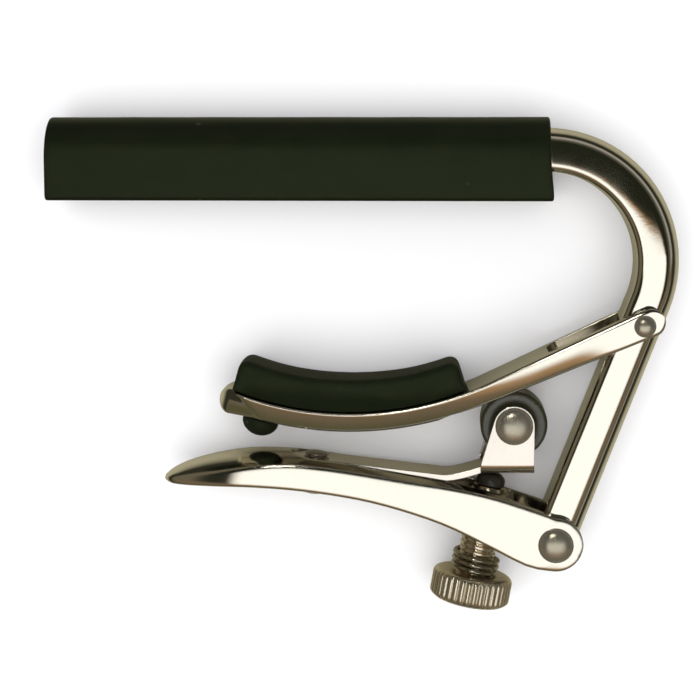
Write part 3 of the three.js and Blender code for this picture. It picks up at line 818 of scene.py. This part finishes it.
@dataclass
class StringBar:
    """The hook and the rubber sleeve on its straight end. Sizes in millimetres."""

    wall_round: float = 0.3
    flank_share: float = 0.47
    corner: float = 0.6
    lip: float = 0.45
    lip_band: tuple = (3.05, 3.3)
    lip_start: float = 0.6
    bore_side: float = 4.0
    bore_floor: float = 3.5
    bore_flank: float = 6.9
    bore_roof: float = 9.5
    bore_corner: float = 0.9
    around: int = 120
    rows: int = 90
    sag: float = 0.05
    sag_cell: float = 9.0

    def outline(self, half_width: float, low: float, flank: float, top: float,
                corner: float) -> list[tuple]:
        """One D-shaped outline, evenly numbered so that two of them can be joined.

        Args:
            half_width: Half its width.
            low: Height of its flat side.
            flank: Height where the dome starts.
            top: Height of the dome's top.
            corner: Radius of the lower corners.

        Returns:
            Points as (z, y) in metres.
        """
        quarter = self.around // 12
        right = arc((half_width - corner, low + corner), (corner, corner), -math.pi / 2, 0, quarter)
        dome = arc((0, flank), (half_width, top - flank), 0, math.pi, self.around // 2)
        left = arc((corner - half_width, low + corner), (corner, corner),
                   math.pi, 1.5 * math.pi, quarter)
        floor_steps = self.around // 4
        span = half_width - corner
        floor = [(-span + 2 * span * i / floor_steps, low) for i in range(1, floor_steps)]
        return right + dome + left + floor

    def sleeve(self) -> bpy.types.Object:
        """Builds the rubber sleeve as one tube with rounded ends and a lip under the bar."""
        low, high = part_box("string_sleeve")
        middle = (low.z + high.z) / 2
        half = (high.z - low.z) / 2
        flank = low.y + self.flank_share * (high.y - low.y)
        shrink = self.wall_round * MM
        stations = self.stations(low.x, high.x - self.lip * MM, shrink)
        lip_low, lip_high = (low.y + height * MM for height in self.lip_band)
        outer = self.outline(half, low.y, flank, high.y, self.corner * MM)
        narrow = self.outline(half - shrink, low.y + shrink, flank, high.y - shrink, 0.5 * MM)
        bore = self.outline(self.bore_side * MM, low.y + self.bore_floor * MM,
                            low.y + self.bore_flank * MM, low.y + self.bore_roof * MM,
                            self.bore_corner * MM)
        points = []
        for x, inset, skin in stations:
            for (z0, y0), (z1, y1), (zb, yb) in zip(outer, narrow, bore):
                z, y = z0 + (z1 - z0) * inset, y0 + (y1 - y0) * inset
                if skin == "bore":
                    z, y = zb, yb
                below = 1 - smooth_step(lip_low, lip_high, y)
                start = stations[0][0] + self.lip_start * (high.x - low.x)
                at_right = smooth_step(start, high.x - 2 * MM, x)
                place = Vector((x + self.lip * MM * below * at_right, y, middle + z))
                dent = wavy(place, self.sag * MM, self.sag_cell * MM) if skin == "skin" else 0.0
                domed = smooth_step(flank, high.y, y)
                place.y -= abs(dent) * domed
                points.append(place)
        faces = ring_faces(len(stations), len(outer), closed=True)
        return make_piece("rubber_sleeve", points, faces, SLEEVE_RUBBER,
                          Body.FRAME, Slot.SLEEVE, "string_sleeve")

    def stations(self, left: float, right: float, shrink: float) -> list[tuple]:
        """Stations round the tube's wall: out along the skin and back along the bore.

        Args:
            left: The sleeve's left end.
            right: Its right end, without the lip.
            shrink: Radius of the rounded rims.

        Returns:
            Triples of x, share of the rim's inset, and "skin" or "bore".
        """
        rim = quarter_turn(6)
        length = right - left - 2 * shrink
        rows = [(left + shrink * (1 - math.cos(a)), 1 - math.sin(a), "skin") for a in rim]
        rows += [(left + shrink + length * i / self.rows, 0.0, "skin") for i in range(1, self.rows)]
        rows += [(right - shrink * (1 - math.sin(a)), 1 - math.cos(a), "skin") for a in rim]
        rows += [(right - 0.05 * MM, 1.0, "bore"), (right - 2 * MM, 1.0, "bore")]
        rows += [(left + 2 * MM, 1.0, "bore"), (left + 0.05 * MM, 1.0, "bore")]
        return rows

    def build(self) -> None:
        """Builds the sleeve and dresses the bar."""
        dress("string_bar", BAR_NICKEL)
        self.sleeve()


@dataclass
class NeckPad:
    """The swing arm's moulded rubber pad with the button that holds it. Sizes in millimetres."""

    bed_radius: float = 41.75
    bed_centre: tuple = (-27.1, 59.0)
    top_centre: tuple = (-26.9, 57.35)
    top_radius: float = 36.0
    left: float = -41.0
    right: float = -13.0
    draft_left: float = 13.0
    draft_right: float = 14.5
    corner: float = 1.7
    half_width: float = 4.35
    edge: float = 0.85
    side_draft: float = 0.12
    draft_level: float = 24.35
    crown: float = 0.3
    rise: float = 4.4
    soft_foot: float = 1.5
    crown_band: tuple = (-0.5, 1.6)
    least_step: float = 0.15
    waviness: float = 0.04
    wave_cell: float = 5.0
    wave_seed: float = 7.0
    foot_radius: float = 44.5
    button_tilt: float = 15.0

    def side_outline(self) -> list[Vector]:
        """The pad seen from the side, evenly stepped.

        Returns:
            Points in millimetres about the lever's pivot.
        """
        def below(centre: tuple, radius: float, x: float) -> Vector:
            turn = math.asin((x - centre[0]) / radius)
            return Vector((x, centre[1] - radius * math.cos(turn)))

        on_top = partial(below, self.top_centre, self.top_radius)
        on_bed = partial(below, self.bed_centre, self.bed_radius)
        foot_left = on_bed(self.left - self.rise * math.tan(math.radians(self.draft_left)))
        foot_right = on_bed(self.right + self.rise * math.tan(math.radians(self.draft_right)))
        under = [on_bed(foot_left.x + (foot_right.x - foot_left.x) * i / 44) for i in range(45)]
        span = self.right - self.left - 2 * self.corner
        top = [on_top(self.right - self.corner - span * i / 40) for i in range(41)]
        right_side = self.shoulder(under[-1], on_top(self.right), top[0])
        left_side = self.shoulder(top[-1], on_top(self.left), under[0])
        return under + right_side + top + left_side

    def shoulder(self, before: Vector, corner: Vector, after: Vector) -> list[Vector]:
        """Upright end of the pad with its rounded corner.

        Args:
            before: Point before the corner.
            corner: The sharp corner.
            after: Point after the corner.

        Returns:
            Points between before and after, neither included.
        """
        start = corner + (before - corner).normalized() * self.corner
        end = corner + (after - corner).normalized() * self.corner
        curve = []
        for i in range(13):
            t = i / 12
            curve.append(start * (1 - t) ** 2 + corner * 2 * t * (1 - t) + end * t * t)
        lead = [before + (start - before) * i / 5 for i in range(1, 5)]
        follow = [end + (after - end) * i / 5 for i in range(1, 5)]
        return [p for p in lead + curve + follow
                if min((p - before).length, (p - after).length) > self.least_step]

    def pad(self) -> bpy.types.Object:
        """Builds the pad across its width, crowned and with rounded rims."""
        origin = pivot("lever_pivot")
        outline = self.side_outline()
        centre = sum(outline, Vector((0, 0))) / len(outline)
        count = len(outline)
        inward = []
        for i, point in enumerate(outline):
            tangent = (outline[(i + 1) % count] - outline[i - 1]).normalized()
            inward.append(Vector((-tangent.y, tangent.x)))
        rim = [(-self.half_width + self.edge * (1 - math.cos(t)), self.edge * (1 - math.sin(t)))
               for t in quarter_turn(6)]
        inner = self.half_width - self.edge
        flat = [(-inner + 2 * inner * i / 12, 0.0) for i in range(1, 12)]
        rows = rim + flat + [(-z, inset) for z, inset in reversed(rim)]
        points = []
        for z, inset in rows:
            for point, normal in zip(outline, inward):
                above_bed = self.bed_radius - (point - Vector(self.bed_centre)).length
                place = point + normal * inset * smooth_step(0.0, self.soft_foot, above_bed)
                top = smooth_step(*self.crown_band, place.y - centre.y)
                lift = self.crown * top * (1 - (z / self.half_width) ** 2) - self.crown * top
                side = math.copysign(min(1.0, abs(z) / 3), z)
                spread = z + side * self.side_draft * (self.draft_level - place.y)
                spot = Vector((place.x, place.y + lift, spread)) * MM
                spot.z += wavy(spot, self.waviness * MM, self.wave_cell * MM, self.wave_seed)
                points.append(origin + spot)
        made = make_piece("rubber_pad", points, capped(len(rows), count), PAD_RUBBER,
                          Body.ARM, Slot.PAD, "neck_pad")
        return made

    def button(self) -> bpy.types.Object:
        """Builds the button that pulls through the arm and shows below it."""
        tilt = math.radians(self.button_tilt)
        axis = Vector((math.sin(tilt), math.cos(tilt), 0))
        foot = Vector((*self.bed_centre, 0)) - self.foot_radius * axis
        dome = arc((0, -0.75), (2.42, 2.03), -math.pi / 2, 0, 12)[1:]
        neck = [(2.40, -0.55), (2.28, -0.42), (1.5, -0.4), (1.48, 1.5), (1.48, 2.3)]
        profile = [(0, -2.78), *dome, *neck, (0, 2.3)]
        points, faces = lathe([(r * MM, h * MM) for r, h in profile], ROUND_STEPS)
        place = along(axis, pivot("lever_pivot") + foot * MM)
        return make_piece("pad_button", [place @ p for p in points], faces, PAD_RUBBER,
                          Body.ARM, Slot.PAD)


@dataclass
class ArmCasting:
    """The forked swing arm: curved bed, straight fork, rounded nose and drafted flanks.

    Sizes in millimetres about the lever's pivot, angles in degrees.
    """

    half_width: float = 5.6
    bed_centre: tuple = (-27.1, 59.0)
    bed_top: float = 41.95
    bed_under: float = 44.5
    heel: float = 24.0
    nose_top: float = -20.0
    nose_under: float = -16.0
    nose_centre: tuple = (-42.45, 18.3)
    nose_radius: float = 1.7
    nose_start: float = -39.0
    nose_reach: float = 5.15
    eye_shift: float = 0.85
    eye_radius: float = 1.9
    eye_top: float = 1.95
    eye_under: float = -1.75
    edge: float = 0.40
    flank_steps: int = 12
    fork_steps: int = 40
    bed_steps: int = 56
    edge_point: int = 8
    fork_draft: tuple = (2.0, 9.0)
    bed_draft: tuple = (-16.0, -2.0)
    fork_corner: float = 1.4
    fork_end: tuple = (-11.1, 2.6)
    fork_mouth: tuple = (8.0, 4.0)
    track_angle: float = 24.2
    track_ends: tuple = (-15.5, 9.5)
    track_half: float = 4.7
    track_depth: tuple = (14.98, 20.98)
    rivet_hole: float = 1.1
    button_hole: float = 1.7
    button_tilt: float = 15.0

    def from_pivot(self, ahead: float, up: float) -> Vector:
        """Place given along the fork from the arm's pivot and square to it."""
        turn = math.radians(self.heel)
        start = (pivot("arm_pivot") - pivot("lever_pivot")) / MM
        c, s = math.cos(turn), math.sin(turn)
        return Vector((start.x + ahead * c - up * s, start.y + ahead * s + up * c))

    def on_bed(self, radius: float, angle: float) -> Vector:
        """Place on an arc about the bed's centre, with the angle from straight down."""
        turn = math.radians(angle)
        return Vector((self.bed_centre[0] + radius * math.sin(turn),
                       self.bed_centre[1] - radius * math.cos(turn)))

    def sides(self) -> list[tuple]:
        """Pairs of upper and lower points from the eye's end to the nose.

        Returns:
            Pairs of places in millimetres.
        """
        def round_end(centre: Vector, radius: float, *angles: float) -> tuple:
            turns = [math.radians(angle) for angle in angles]
            return tuple(centre + radius * Vector((math.cos(a), math.sin(a))) for a in turns)

        eye = self.from_pivot(self.eye_shift, (self.eye_top + self.eye_under) / 2)
        pairs = []
        for i in range(9):
            opening = 4 + 71 * i / 8
            pairs.append(round_end(eye, self.eye_radius, self.heel + opening, self.heel - opening))
        ends = [(self.from_pivot(0, self.eye_top), self.on_bed(self.bed_top, self.heel)),
                (self.from_pivot(0, self.eye_under), self.on_bed(self.bed_under, self.heel))]
        for i in range(self.fork_steps):
            pairs.append(tuple(start.lerp(end, i / self.fork_steps) for start, end in ends))
        bed = [(self.bed_top, self.nose_top), (self.bed_under, self.nose_under)]
        for i in range(self.bed_steps + 1):
            share = i / self.bed_steps
            pairs.append(tuple(self.on_bed(radius, self.heel + (end - self.heel) * share)
                               for radius, end in bed))
        nose = Vector(self.nose_centre)
        for i in range(1, 12):
            closing = 93 * i / 11
            pairs.append(round_end(nose, self.nose_radius, 72 + closing, 262 - closing))
        return pairs

    def half_at(self, x: float) -> float:
        """Half width at a place along the arm, with the nose rounded in plan."""
        past = max(0.0, self.nose_start - x) / self.nose_reach
        return self.half_width * math.sqrt(max(0.004, 1 - past * past))

    def draft(self, x: float, share: float) -> float:
        """How far the flank has drawn in.

        Args:
            x: Place along the arm.
            share: 0 at the upper edge, 1 at the lower edge.

        Returns:
            The distance in millimetres.
        """
        fork = 1 - smooth_step(*self.fork_draft, x)
        bed = 1 - smooth_step(*self.bed_draft, x)
        depth = 0.12 + 0.48 * fork + 0.45 * bed
        lean = 0.1 + 0.62 * bed
        lean_in = lean * share + (1 - lean) * share * share
        return depth * lean_in * self.half_at(x) / self.half_width

    def half_ring(self, upper: Vector, lower: Vector) -> list[tuple]:
        """Half a section from the middle of the upper face round to the middle of the lower face.

        Args:
            upper: Place of the upper face.
            lower: Place of the lower face.

        Returns:
            Pairs of width and share of the way down.
        """
        tall = (lower - upper).length
        half = self.half_at((upper.x + lower.x) / 2)
        edge = min(self.edge, 0.35 * tall, 0.35 * half)
        quarter = quarter_turn(4)
        ring = [((half - edge) * i / 5, 0.0) for i in range(5)]
        ring += [(half - edge + edge * math.sin(a), edge * (1 - math.cos(a)) / tall)
                 for a in quarter]
        low, high = edge / tall, 1 - edge / tall
        for i in range(1, self.flank_steps):
            ring.append((half, low + (high - low) * i / self.flank_steps))
        ring += [(half - edge + edge * math.cos(a), 1 - edge * (1 - math.sin(a)) / tall)
                 for a in quarter]
        ring += [((half - edge) * (1 - i / 5), 1.0) for i in range(1, 6)]
        return ring

    def cutters(self) -> list:
        """Fork slot, roller track, rivet hole and button hole."""
        def tilted(place: Vector, angle: float) -> Matrix:
            return Matrix.Translation(place) @ Matrix.Rotation(math.radians(angle), 4, "Z")

        round_corner = (self.fork_corner, self.fork_corner)
        end, side = self.fork_end
        mouth, mouth_side = self.fork_mouth
        slot = (arc((end, side), round_corner, math.pi / 2, math.pi, 6)
                + arc((end, -side), round_corner, math.pi, 1.5 * math.pi, 6)
                + [(mouth, -mouth_side), (mouth, mouth_side)])
        left, right = self.track_ends
        half = self.track_half
        track = [(left, -half), (right, -half), (right, half), (left, half)]
        floor, roof = self.track_depth
        tilt = math.radians(self.button_tilt)
        button = self.on_bed(self.bed_under, -self.button_tilt).to_3d() * MM + pivot("lever_pivot")
        return [
            prism([(x * MM, z * MM) for x, z in slot], -6 * MM, 6 * MM,
                  tilted(pivot("arm_pivot"), self.heel)),
            prism([(x * MM, z * MM) for x, z in track], floor * MM, roof * MM,
                  tilted(pivot("lever_pivot"), self.track_angle)),
            drill(self.rivet_hole * MM, 7 * MM, Vector((0, 0, 1)), pivot("arm_pivot")),
            drill(self.button_hole * MM, 6 * MM,
                  Vector((math.sin(tilt), math.cos(tilt), 0)), button),
        ]

    def build(self) -> bpy.types.Object:
        """Lofts the casting through its sections and cuts the fork, track and holes."""
        origin = pivot("lever_pivot")
        points = []
        pairs = self.sides()
        for upper, lower in pairs:
            half = self.half_ring(upper, lower)
            ring = half + [(-z, share) for z, share in reversed(half[1:-1])]
            widest = max(0.5, half[self.edge_point][0])
            for z, share in ring:
                place = upper.lerp(lower, share)
                drawn = self.draft(place.x, share) * min(1.0, abs(z) / widest)
                width = math.copysign(max(0, abs(z) - drawn), z)
                points.append(origin + Vector((place.x, place.y, width)) * MM)
        count = len(points) // len(pairs)
        made = make_piece("arm_casting", points, capped(len(pairs), count), ARM_NICKEL,
                          Body.ARM, Slot.NICKEL, "swing_arm")
        carve(made, self.cutters())
        shade(made)
        return made


@dataclass
class SwingArm:
    """The forked arm, its pivot rivet and its pad."""

    def build(self) -> None:
        """Builds the casting and the rubber on it, and dresses the rivet."""
        ArmCasting().build()
        dress("arm_pivot_rivet", RIVET_SATIN)
        rubber = NeckPad()
        rubber.pad()
        rubber.button()


@dataclass
class Lever:
    """The locking lever with its two rivets."""

    def build(self) -> None:
        """Dresses the casting and its rivets."""
        dress("lever", NICKEL)
        dress("lever_pivot_rivet", RIVET_SATIN)
        dress("bracket_rivet", RIVET_SATIN)


@dataclass
class RollerBracket:
    """The folded bracket, its axle and its roller. Sizes in millimetres."""

    radius: float = 4.35
    bore: float = 1.6
    half_width: float = 3.1
    rim: float = 0.48

    def roller(self) -> bpy.types.Object:
        """Builds the roller with rounded rims."""
        edge = self.rim
        shoulder = self.half_width - edge
        side = [(self.bore, self.half_width), (self.radius - edge - 0.1, self.half_width),
                *arc((self.radius - edge, shoulder), (edge, edge), math.pi / 2, 0, 8)]
        tread = [(self.radius, shoulder - shoulder * 2 * i / 8) for i in range(1, 8)]
        other = [(r, -h) for r, h in reversed(side)]
        points, faces = lathe([(r * MM, h * MM) for r, h in side + tread + other], 96)
        place = along(Vector((0, 0, 1)), pivot("roller_spin"))
        return make_piece("roller_wheel", [place @ p for p in points], faces, ROLLER_PLASTIC,
                          Body.ROLLER, Slot.ROLLER, "roller")

    def build(self) -> None:
        """Builds the roller and dresses the bracket and axle."""
        dress("roller_bracket", SHEET_NICKEL)
        dress("roller_axle", RIVET_SATIN)
        self.roller()


@dataclass
class Screw:
    """The adjusting screw with its rolled thread, knurled knob, tip and spring.

    Sizes in millimetres. Heights are measured along the screw from the joint's place, and are
    negative towards the knob.
    """

    major: float = 2.4
    thread_depth: float = 0.36
    pitch: float = 0.79
    thread_top: float = -2.0
    thread_end: float = 0.6
    crest: tuple = (0.12, 0.5)
    knob_top: float = -13.75
    knob_end: float = -17.6
    knurl_end: float = -17.0
    shoulder: float = 0.75
    top_radius: float = 4.3
    knob_radius: float = 5.3
    root_radius: float = 4.98
    end_radius: float = 4.6
    ridges: int = 36
    valley_shape: float = 0.65
    wire: float = 0.33
    coil_radius: float = 2.85
    coil_pitch: float = 0.8
    turns: float = 2.75

    def place(self) -> Matrix:
        """Transform from the screw's own heights to the frame."""
        turn = joint("screw_turn")
        return along(Vector(turn["axis"]), Vector(turn["pos_m"]))

    def thread(self) -> tuple:
        """Rolled thread from the tip down to the knob.

        Returns:
            Points and faces in the screw's own place.
        """
        segments, per_turn = 56, 10
        length = self.thread_top - self.knob_top + self.thread_end
        rows = round(length / self.pitch * per_turn)
        points = []
        for r in range(rows + 1):
            height = self.knob_top - self.thread_end + length * r / rows
            fade = smooth_step(self.thread_top, self.thread_top - 0.8, height)
            for i in range(segments):
                phase = (height / self.pitch - i / segments) % 1
                groove = smooth_step(*self.crest, abs(phase - 0.5) * 2)
                radius = self.major - self.thread_depth * (1 - groove) * fade - 0.25 * (1 - fade)
                points.append(about_y(radius, height, TAU * i / segments))
        return points, capped(rows + 1, segments)

    def knob_profile(self) -> list[tuple]:
        """The knob's turned form from its top face to its end face.

        Returns:
            Triples of radius, height and depth of the ridges there.
        """
        rows = [(radius, self.knob_top, 0.0) for radius in (2.0, 3.0, self.top_radius - 0.25)]
        for i, turn in enumerate(quarter_turn(8)):
            radius = self.top_radius + (self.knob_radius - self.top_radius) * math.sin(turn)
            height = self.knob_top - self.shoulder * (1 - math.cos(turn))
            rows.append((radius, height, smooth_step(0.45, 1.0, i / 8)))
        start = self.knob_top - self.shoulder
        span = start - self.knurl_end
        rows += [(self.knob_radius, start - span * i / 8, 1.0) for i in range(1, 9)]
        rows += [(self.knob_radius - 0.12, self.knurl_end - 0.16, 0.8),
                 (5.0, self.knurl_end - 0.33, 0.35)]
        rows += [(self.end_radius, self.knob_end, 0.0), (self.end_radius - 0.4, self.knob_end, 0.0)]
        rows += [(radius, self.knob_end + dish, 0.0)
                 for radius, dish in ((2.6, 0.02), (2.2, 0.25), (1.0, 0.3))]
        return rows

    def knob(self) -> tuple:
        """Straight-knurled knob with rounded ridges and narrow valleys.

        Returns:
            Points and faces in the screw's own place.
        """
        per_ridge = 9
        segments = self.ridges * per_ridge
        depth = self.knob_radius - self.root_radius
        profile = self.knob_profile()
        points = []
        for radius, height, ridge in profile:
            for i in range(segments):
                share = (i % per_ridge) / per_ridge
                swell = abs(math.sin(math.pi * share)) ** self.valley_shape
                valley = (1 - swell) * depth * ridge
                points.append(about_y(radius - valley, height, TAU * i / segments))
        faces = ring_faces(len(profile), segments)
        for row in (0, len(profile) - 1):
            cap_with_fan(points, faces, row * segments, segments, profile[row][1])
        return points, faces

    def screw(self) -> None:
        """Builds the threaded shank and the knob."""
        place = self.place()
        for name, (points, faces) in (("screw_knob", self.knob()), ("screw_thread", self.thread())):
            make_piece(name, [place @ (p * MM) for p in points], faces, TURNED_NICKEL,
                       Body.SCREW, Slot.NICKEL, "thumb_screw")

    def spring(self) -> bpy.types.Object:
        """Builds the coil spring of round wire with its cut ends."""
        sides, per_turn = 12, 36
        steps = round(self.turns * per_turn)
        points = []
        for s in range(steps + 1):
            share = s / steps
            angle = share * self.turns * TAU
            height = self.knob_top + self.wire + 0.05 + share * self.turns * self.coil_pitch
            out = Vector((math.cos(angle), 0, math.sin(angle)))
            rise = self.coil_pitch / TAU / self.coil_radius
            ahead = Vector((-math.sin(angle), rise, math.cos(angle))).normalized()
            up = out.cross(ahead).normalized()
            for i in range(sides):
                turn = TAU * i / sides
                section = out * (self.wire * math.cos(turn)) + up * (self.wire * math.sin(turn))
                points.append(out * self.coil_radius + Vector((0, height, 0)) + section)
        place = self.place()
        return make_piece("coil_spring", [place @ (p * MM) for p in points],
                          capped(steps + 1, sides), WIRE_STEEL,
                          Body.SCREW, Slot.RIVET, "friction_spring")

    def build(self) -> None:
        """Builds the screw and spring and dresses the tip."""
        dress("screw_tip", TIP_PLASTIC)
        self.screw()
        self.spring()


# ---- Studio ----


@dataclass(frozen=True)
class Room:
    """What the plating mirrors.

    A direction is given by its slopes across (X over Z) and near (Y over Z), and straight up is
    0, 0. Each band is a pair of slopes over which one tone changes to the next.
    """

    least_up: float = 0.05
    panel_left: tuple = (-0.42, -0.27)
    panel_right: tuple = (0.28, 0.60)
    panel_start: tuple = (-0.62, -0.34)
    panel_end: tuple = (-0.056, -0.048)
    fringe_start: tuple = (-1.05, -0.50)
    fringe_end: tuple = (-0.049, -0.041)
    apron_start: tuple = (-5.0, -2.6)
    apron_end: tuple = (-0.55, -0.35)
    apron_shade: tuple = (-1.9, -0.9)
    mid_wall: tuple = (0.9, 1.7)
    low_wall: tuple = (2.2, 3.4)
    left_wall: tuple = (-1.1, -0.6)
    lamp_place: tuple = (-0.14, 0.37)
    lamp_edge: tuple = (0.002, 0.005)
    panel: tuple = (1.34, 1.36, 1.31, 1)
    fringe: tuple = (0.46, 0.28, 0.135, 1)
    apron: tuple = (0.100, 0.095, 0.046, 1)
    apron_near: tuple = (0.185, 0.134, 0.082, 1)
    ceiling: tuple = (0.018, 0.020, 0.011, 1)
    wall: tuple = (0.095, 0.090, 0.066, 1)
    pale_wall: tuple = (0.36, 0.345, 0.30, 1)
    warm_wall: tuple = (0.15, 0.13, 0.085, 1)
    lamp: tuple = (26.0, 25.0, 22.5, 1)

    def mirrored(self, sheet: Sheet) -> bpy.types.NodeSocket:
        """Tone of the room in each direction: panel, its fringe, the apron below it, walls, lamp.

        Args:
            sheet: The world's sheet.

        Returns:
            The colour's socket.
        """
        split = sheet.add("ShaderNodeSeparateXYZ")
        sheet.feed(split.inputs[0], sheet.add("ShaderNodeTexCoord").outputs["Generated"])
        up = sheet.math("MAXIMUM", split.outputs["Z"], self.least_up)
        across = sheet.math("DIVIDE", split.outputs["X"], up)
        near = sheet.math("DIVIDE", split.outputs["Y"], up)
        window = sheet.product(sheet.rise(across, *self.panel_left),
                               sheet.fall(across, *self.panel_right))
        core = sheet.product(window, sheet.fall(near, *self.panel_end),
                             sheet.rise(near, *self.panel_start))
        glow = sheet.product(window, sheet.fall(near, *self.fringe_end),
                             sheet.rise(near, *self.fringe_start))
        skirt = sheet.product(sheet.fall(near, *self.apron_end),
                              sheet.rise(near, *self.apron_start))
        low = sheet.math("SQRT", self.square(sheet, across, near))
        tone = sheet.mix(sheet.rise(low, *self.mid_wall), self.ceiling, self.wall)
        tone = sheet.mix(sheet.rise(low, *self.low_wall), tone, self.pale_wall)
        tone = sheet.mix(sheet.fall(across, *self.left_wall), tone, self.warm_wall)
        earth = sheet.mix(sheet.rise(near, *self.apron_shade), self.apron, self.apron_near)
        tone = sheet.mix(skirt, tone, earth)
        tone = sheet.mix(glow, tone, self.fringe)
        tone = sheet.mix(core, tone, self.panel)
        lamp_across, lamp_near = (sheet.math("ADD", value, -place)
                                  for value, place in zip((across, near), self.lamp_place))
        spot = sheet.fall(self.square(sheet, lamp_across, lamp_near), *self.lamp_edge)
        return sheet.mix(spot, tone, self.lamp)

    @staticmethod
    def square(sheet: Sheet, across: object, near: object) -> bpy.types.NodeSocket:
        """Square of a distance in slopes."""
        return sheet.math("MULTIPLY_ADD", across, across, sheet.product(near, near))


@dataclass
class Studio:
    """Floor, lights, surroundings and camera. Sizes in millimetres."""

    floor_half: float = 1500.0
    floor_drop: float = 0.02
    floor_tone: tuple = (0.90, 0.90, 0.90, 1)
    near_mirrored: tuple = (0.37, 0.345, 0.235, 1)
    far_mirrored: tuple = (0.024, 0.024, 0.015, 1)
    mirrored_reach: tuple = (10.0, 26.0)
    backdrop: tuple = (0.97, 0.97, 0.97, 1)
    soft_light: tuple = (0.80, 0.80, 0.83, 1)
    aim: tuple = (-26.98, 24.70, 0.0)
    stand: tuple = (13.15, 28.27, 236.7)
    lens: float = 93.4
    sensor: float = 36.0
    key_power: float = 5.9
    key_place: tuple = (50.0, -260.0, 800.0)
    key_size: float = 1150.0
    key_tone: tuple = (1.0, 0.99, 0.97)

    def floor(self) -> None:
        """Makes the pale floor, which polished metal mirrors darker the farther off it is."""
        half = self.floor_half * MM
        mesh = bpy.data.meshes.new("studio_floor")
        corners = [(-half, -half), (half, -half), (half, half), (-half, half)]
        mesh.from_pydata([(x, y, -self.floor_drop * MM) for x, y in corners], [], [(0, 1, 2, 3)])
        made = linked("studio_floor", mesh)
        material, sheet, shader = new_material("pale_floor")
        rays = sheet.add("ShaderNodeLightPath")
        near, far = (reach * MM for reach in self.mirrored_reach)
        away = sheet.rise(rays.outputs["Ray Length"], near, far)
        mirrored = sheet.mix(away, self.near_mirrored, self.far_mirrored)
        tone = sheet.mix(rays.outputs["Is Glossy Ray"], self.floor_tone, mirrored)
        sheet.feed(shader.inputs["Base Color"], tone)
        shader.inputs["Roughness"].default_value = 0.9
        shader.inputs["Specular IOR Level"].default_value = 0.0
        made.data.materials.append(material)

    def surroundings(self) -> None:
        """Lights all around softly, and gives metal the room to mirror instead."""
        world = bpy.data.worlds.new("studio")
        world.use_nodes = True
        sheet = Sheet(world.node_tree)
        mirrored = Room().mirrored(sheet)
        rays = sheet.add("ShaderNodeLightPath")
        soft = sheet.mix(rays.outputs["Is Glossy Ray"], self.soft_light, mirrored)
        tone = sheet.mix(rays.outputs["Is Camera Ray"], soft, self.backdrop)
        sheet.feed(world.node_tree.nodes["Background"].inputs["Color"], tone)
        bpy.context.scene.world = world

    def key_light(self) -> None:
        """Hangs the large soft light above, below the lever's side and tipped off the capo.

        The tip keeps it gentle. The plating mirrors the room's panel instead of it.
        """
        data = bpy.data.lights.new("softbox", "AREA")
        data.shape = "DISK"
        data.size = self.key_size * MM
        data.energy = self.key_power
        data.color = self.key_tone
        light = linked("softbox", data)
        light.location = Vector(self.key_place) * MM
        light.rotation_euler.x = math.atan2(light.location.y, light.location.z)
        light.visible_glossy = False

    def camera(self) -> None:
        """Sets the camera nearly straight above the capo, a little beyond the string bar."""
        aim = pivot("lever_pivot") + Vector(self.aim) * MM
        eye = aim + Vector(self.stand) * MM
        back = (eye - aim).normalized()
        right = Vector((0, 1, 0)).cross(back).normalized()
        turn = Matrix((right, back.cross(right), back)).transposed().to_4x4()
        data = bpy.data.cameras.new("camera")
        data.lens = self.lens
        data.sensor_width = self.sensor
        made = linked("camera", data)
        made.matrix_world = Matrix.Translation(eye) @ turn
        bpy.context.scene.camera = made

    def build(self) -> None:
        """Sets the studio up."""
        bpy.context.scene.view_settings.view_transform = "Standard"
        self.camera()
        self.surroundings()
        self.key_light()
        self.floor()


def main() -> None:
    """Builds the studio and the capo in order."""
    logging.basicConfig(level=logging.INFO, format="%(name)s: %(message)s")
    for part in (Studio(), StringBar(), SwingArm(), Lever(), RollerBracket(), Screw()):
        part.build()
        LOG.info("%s done", type(part).__name__)


if __name__ == "__main__":
    main()
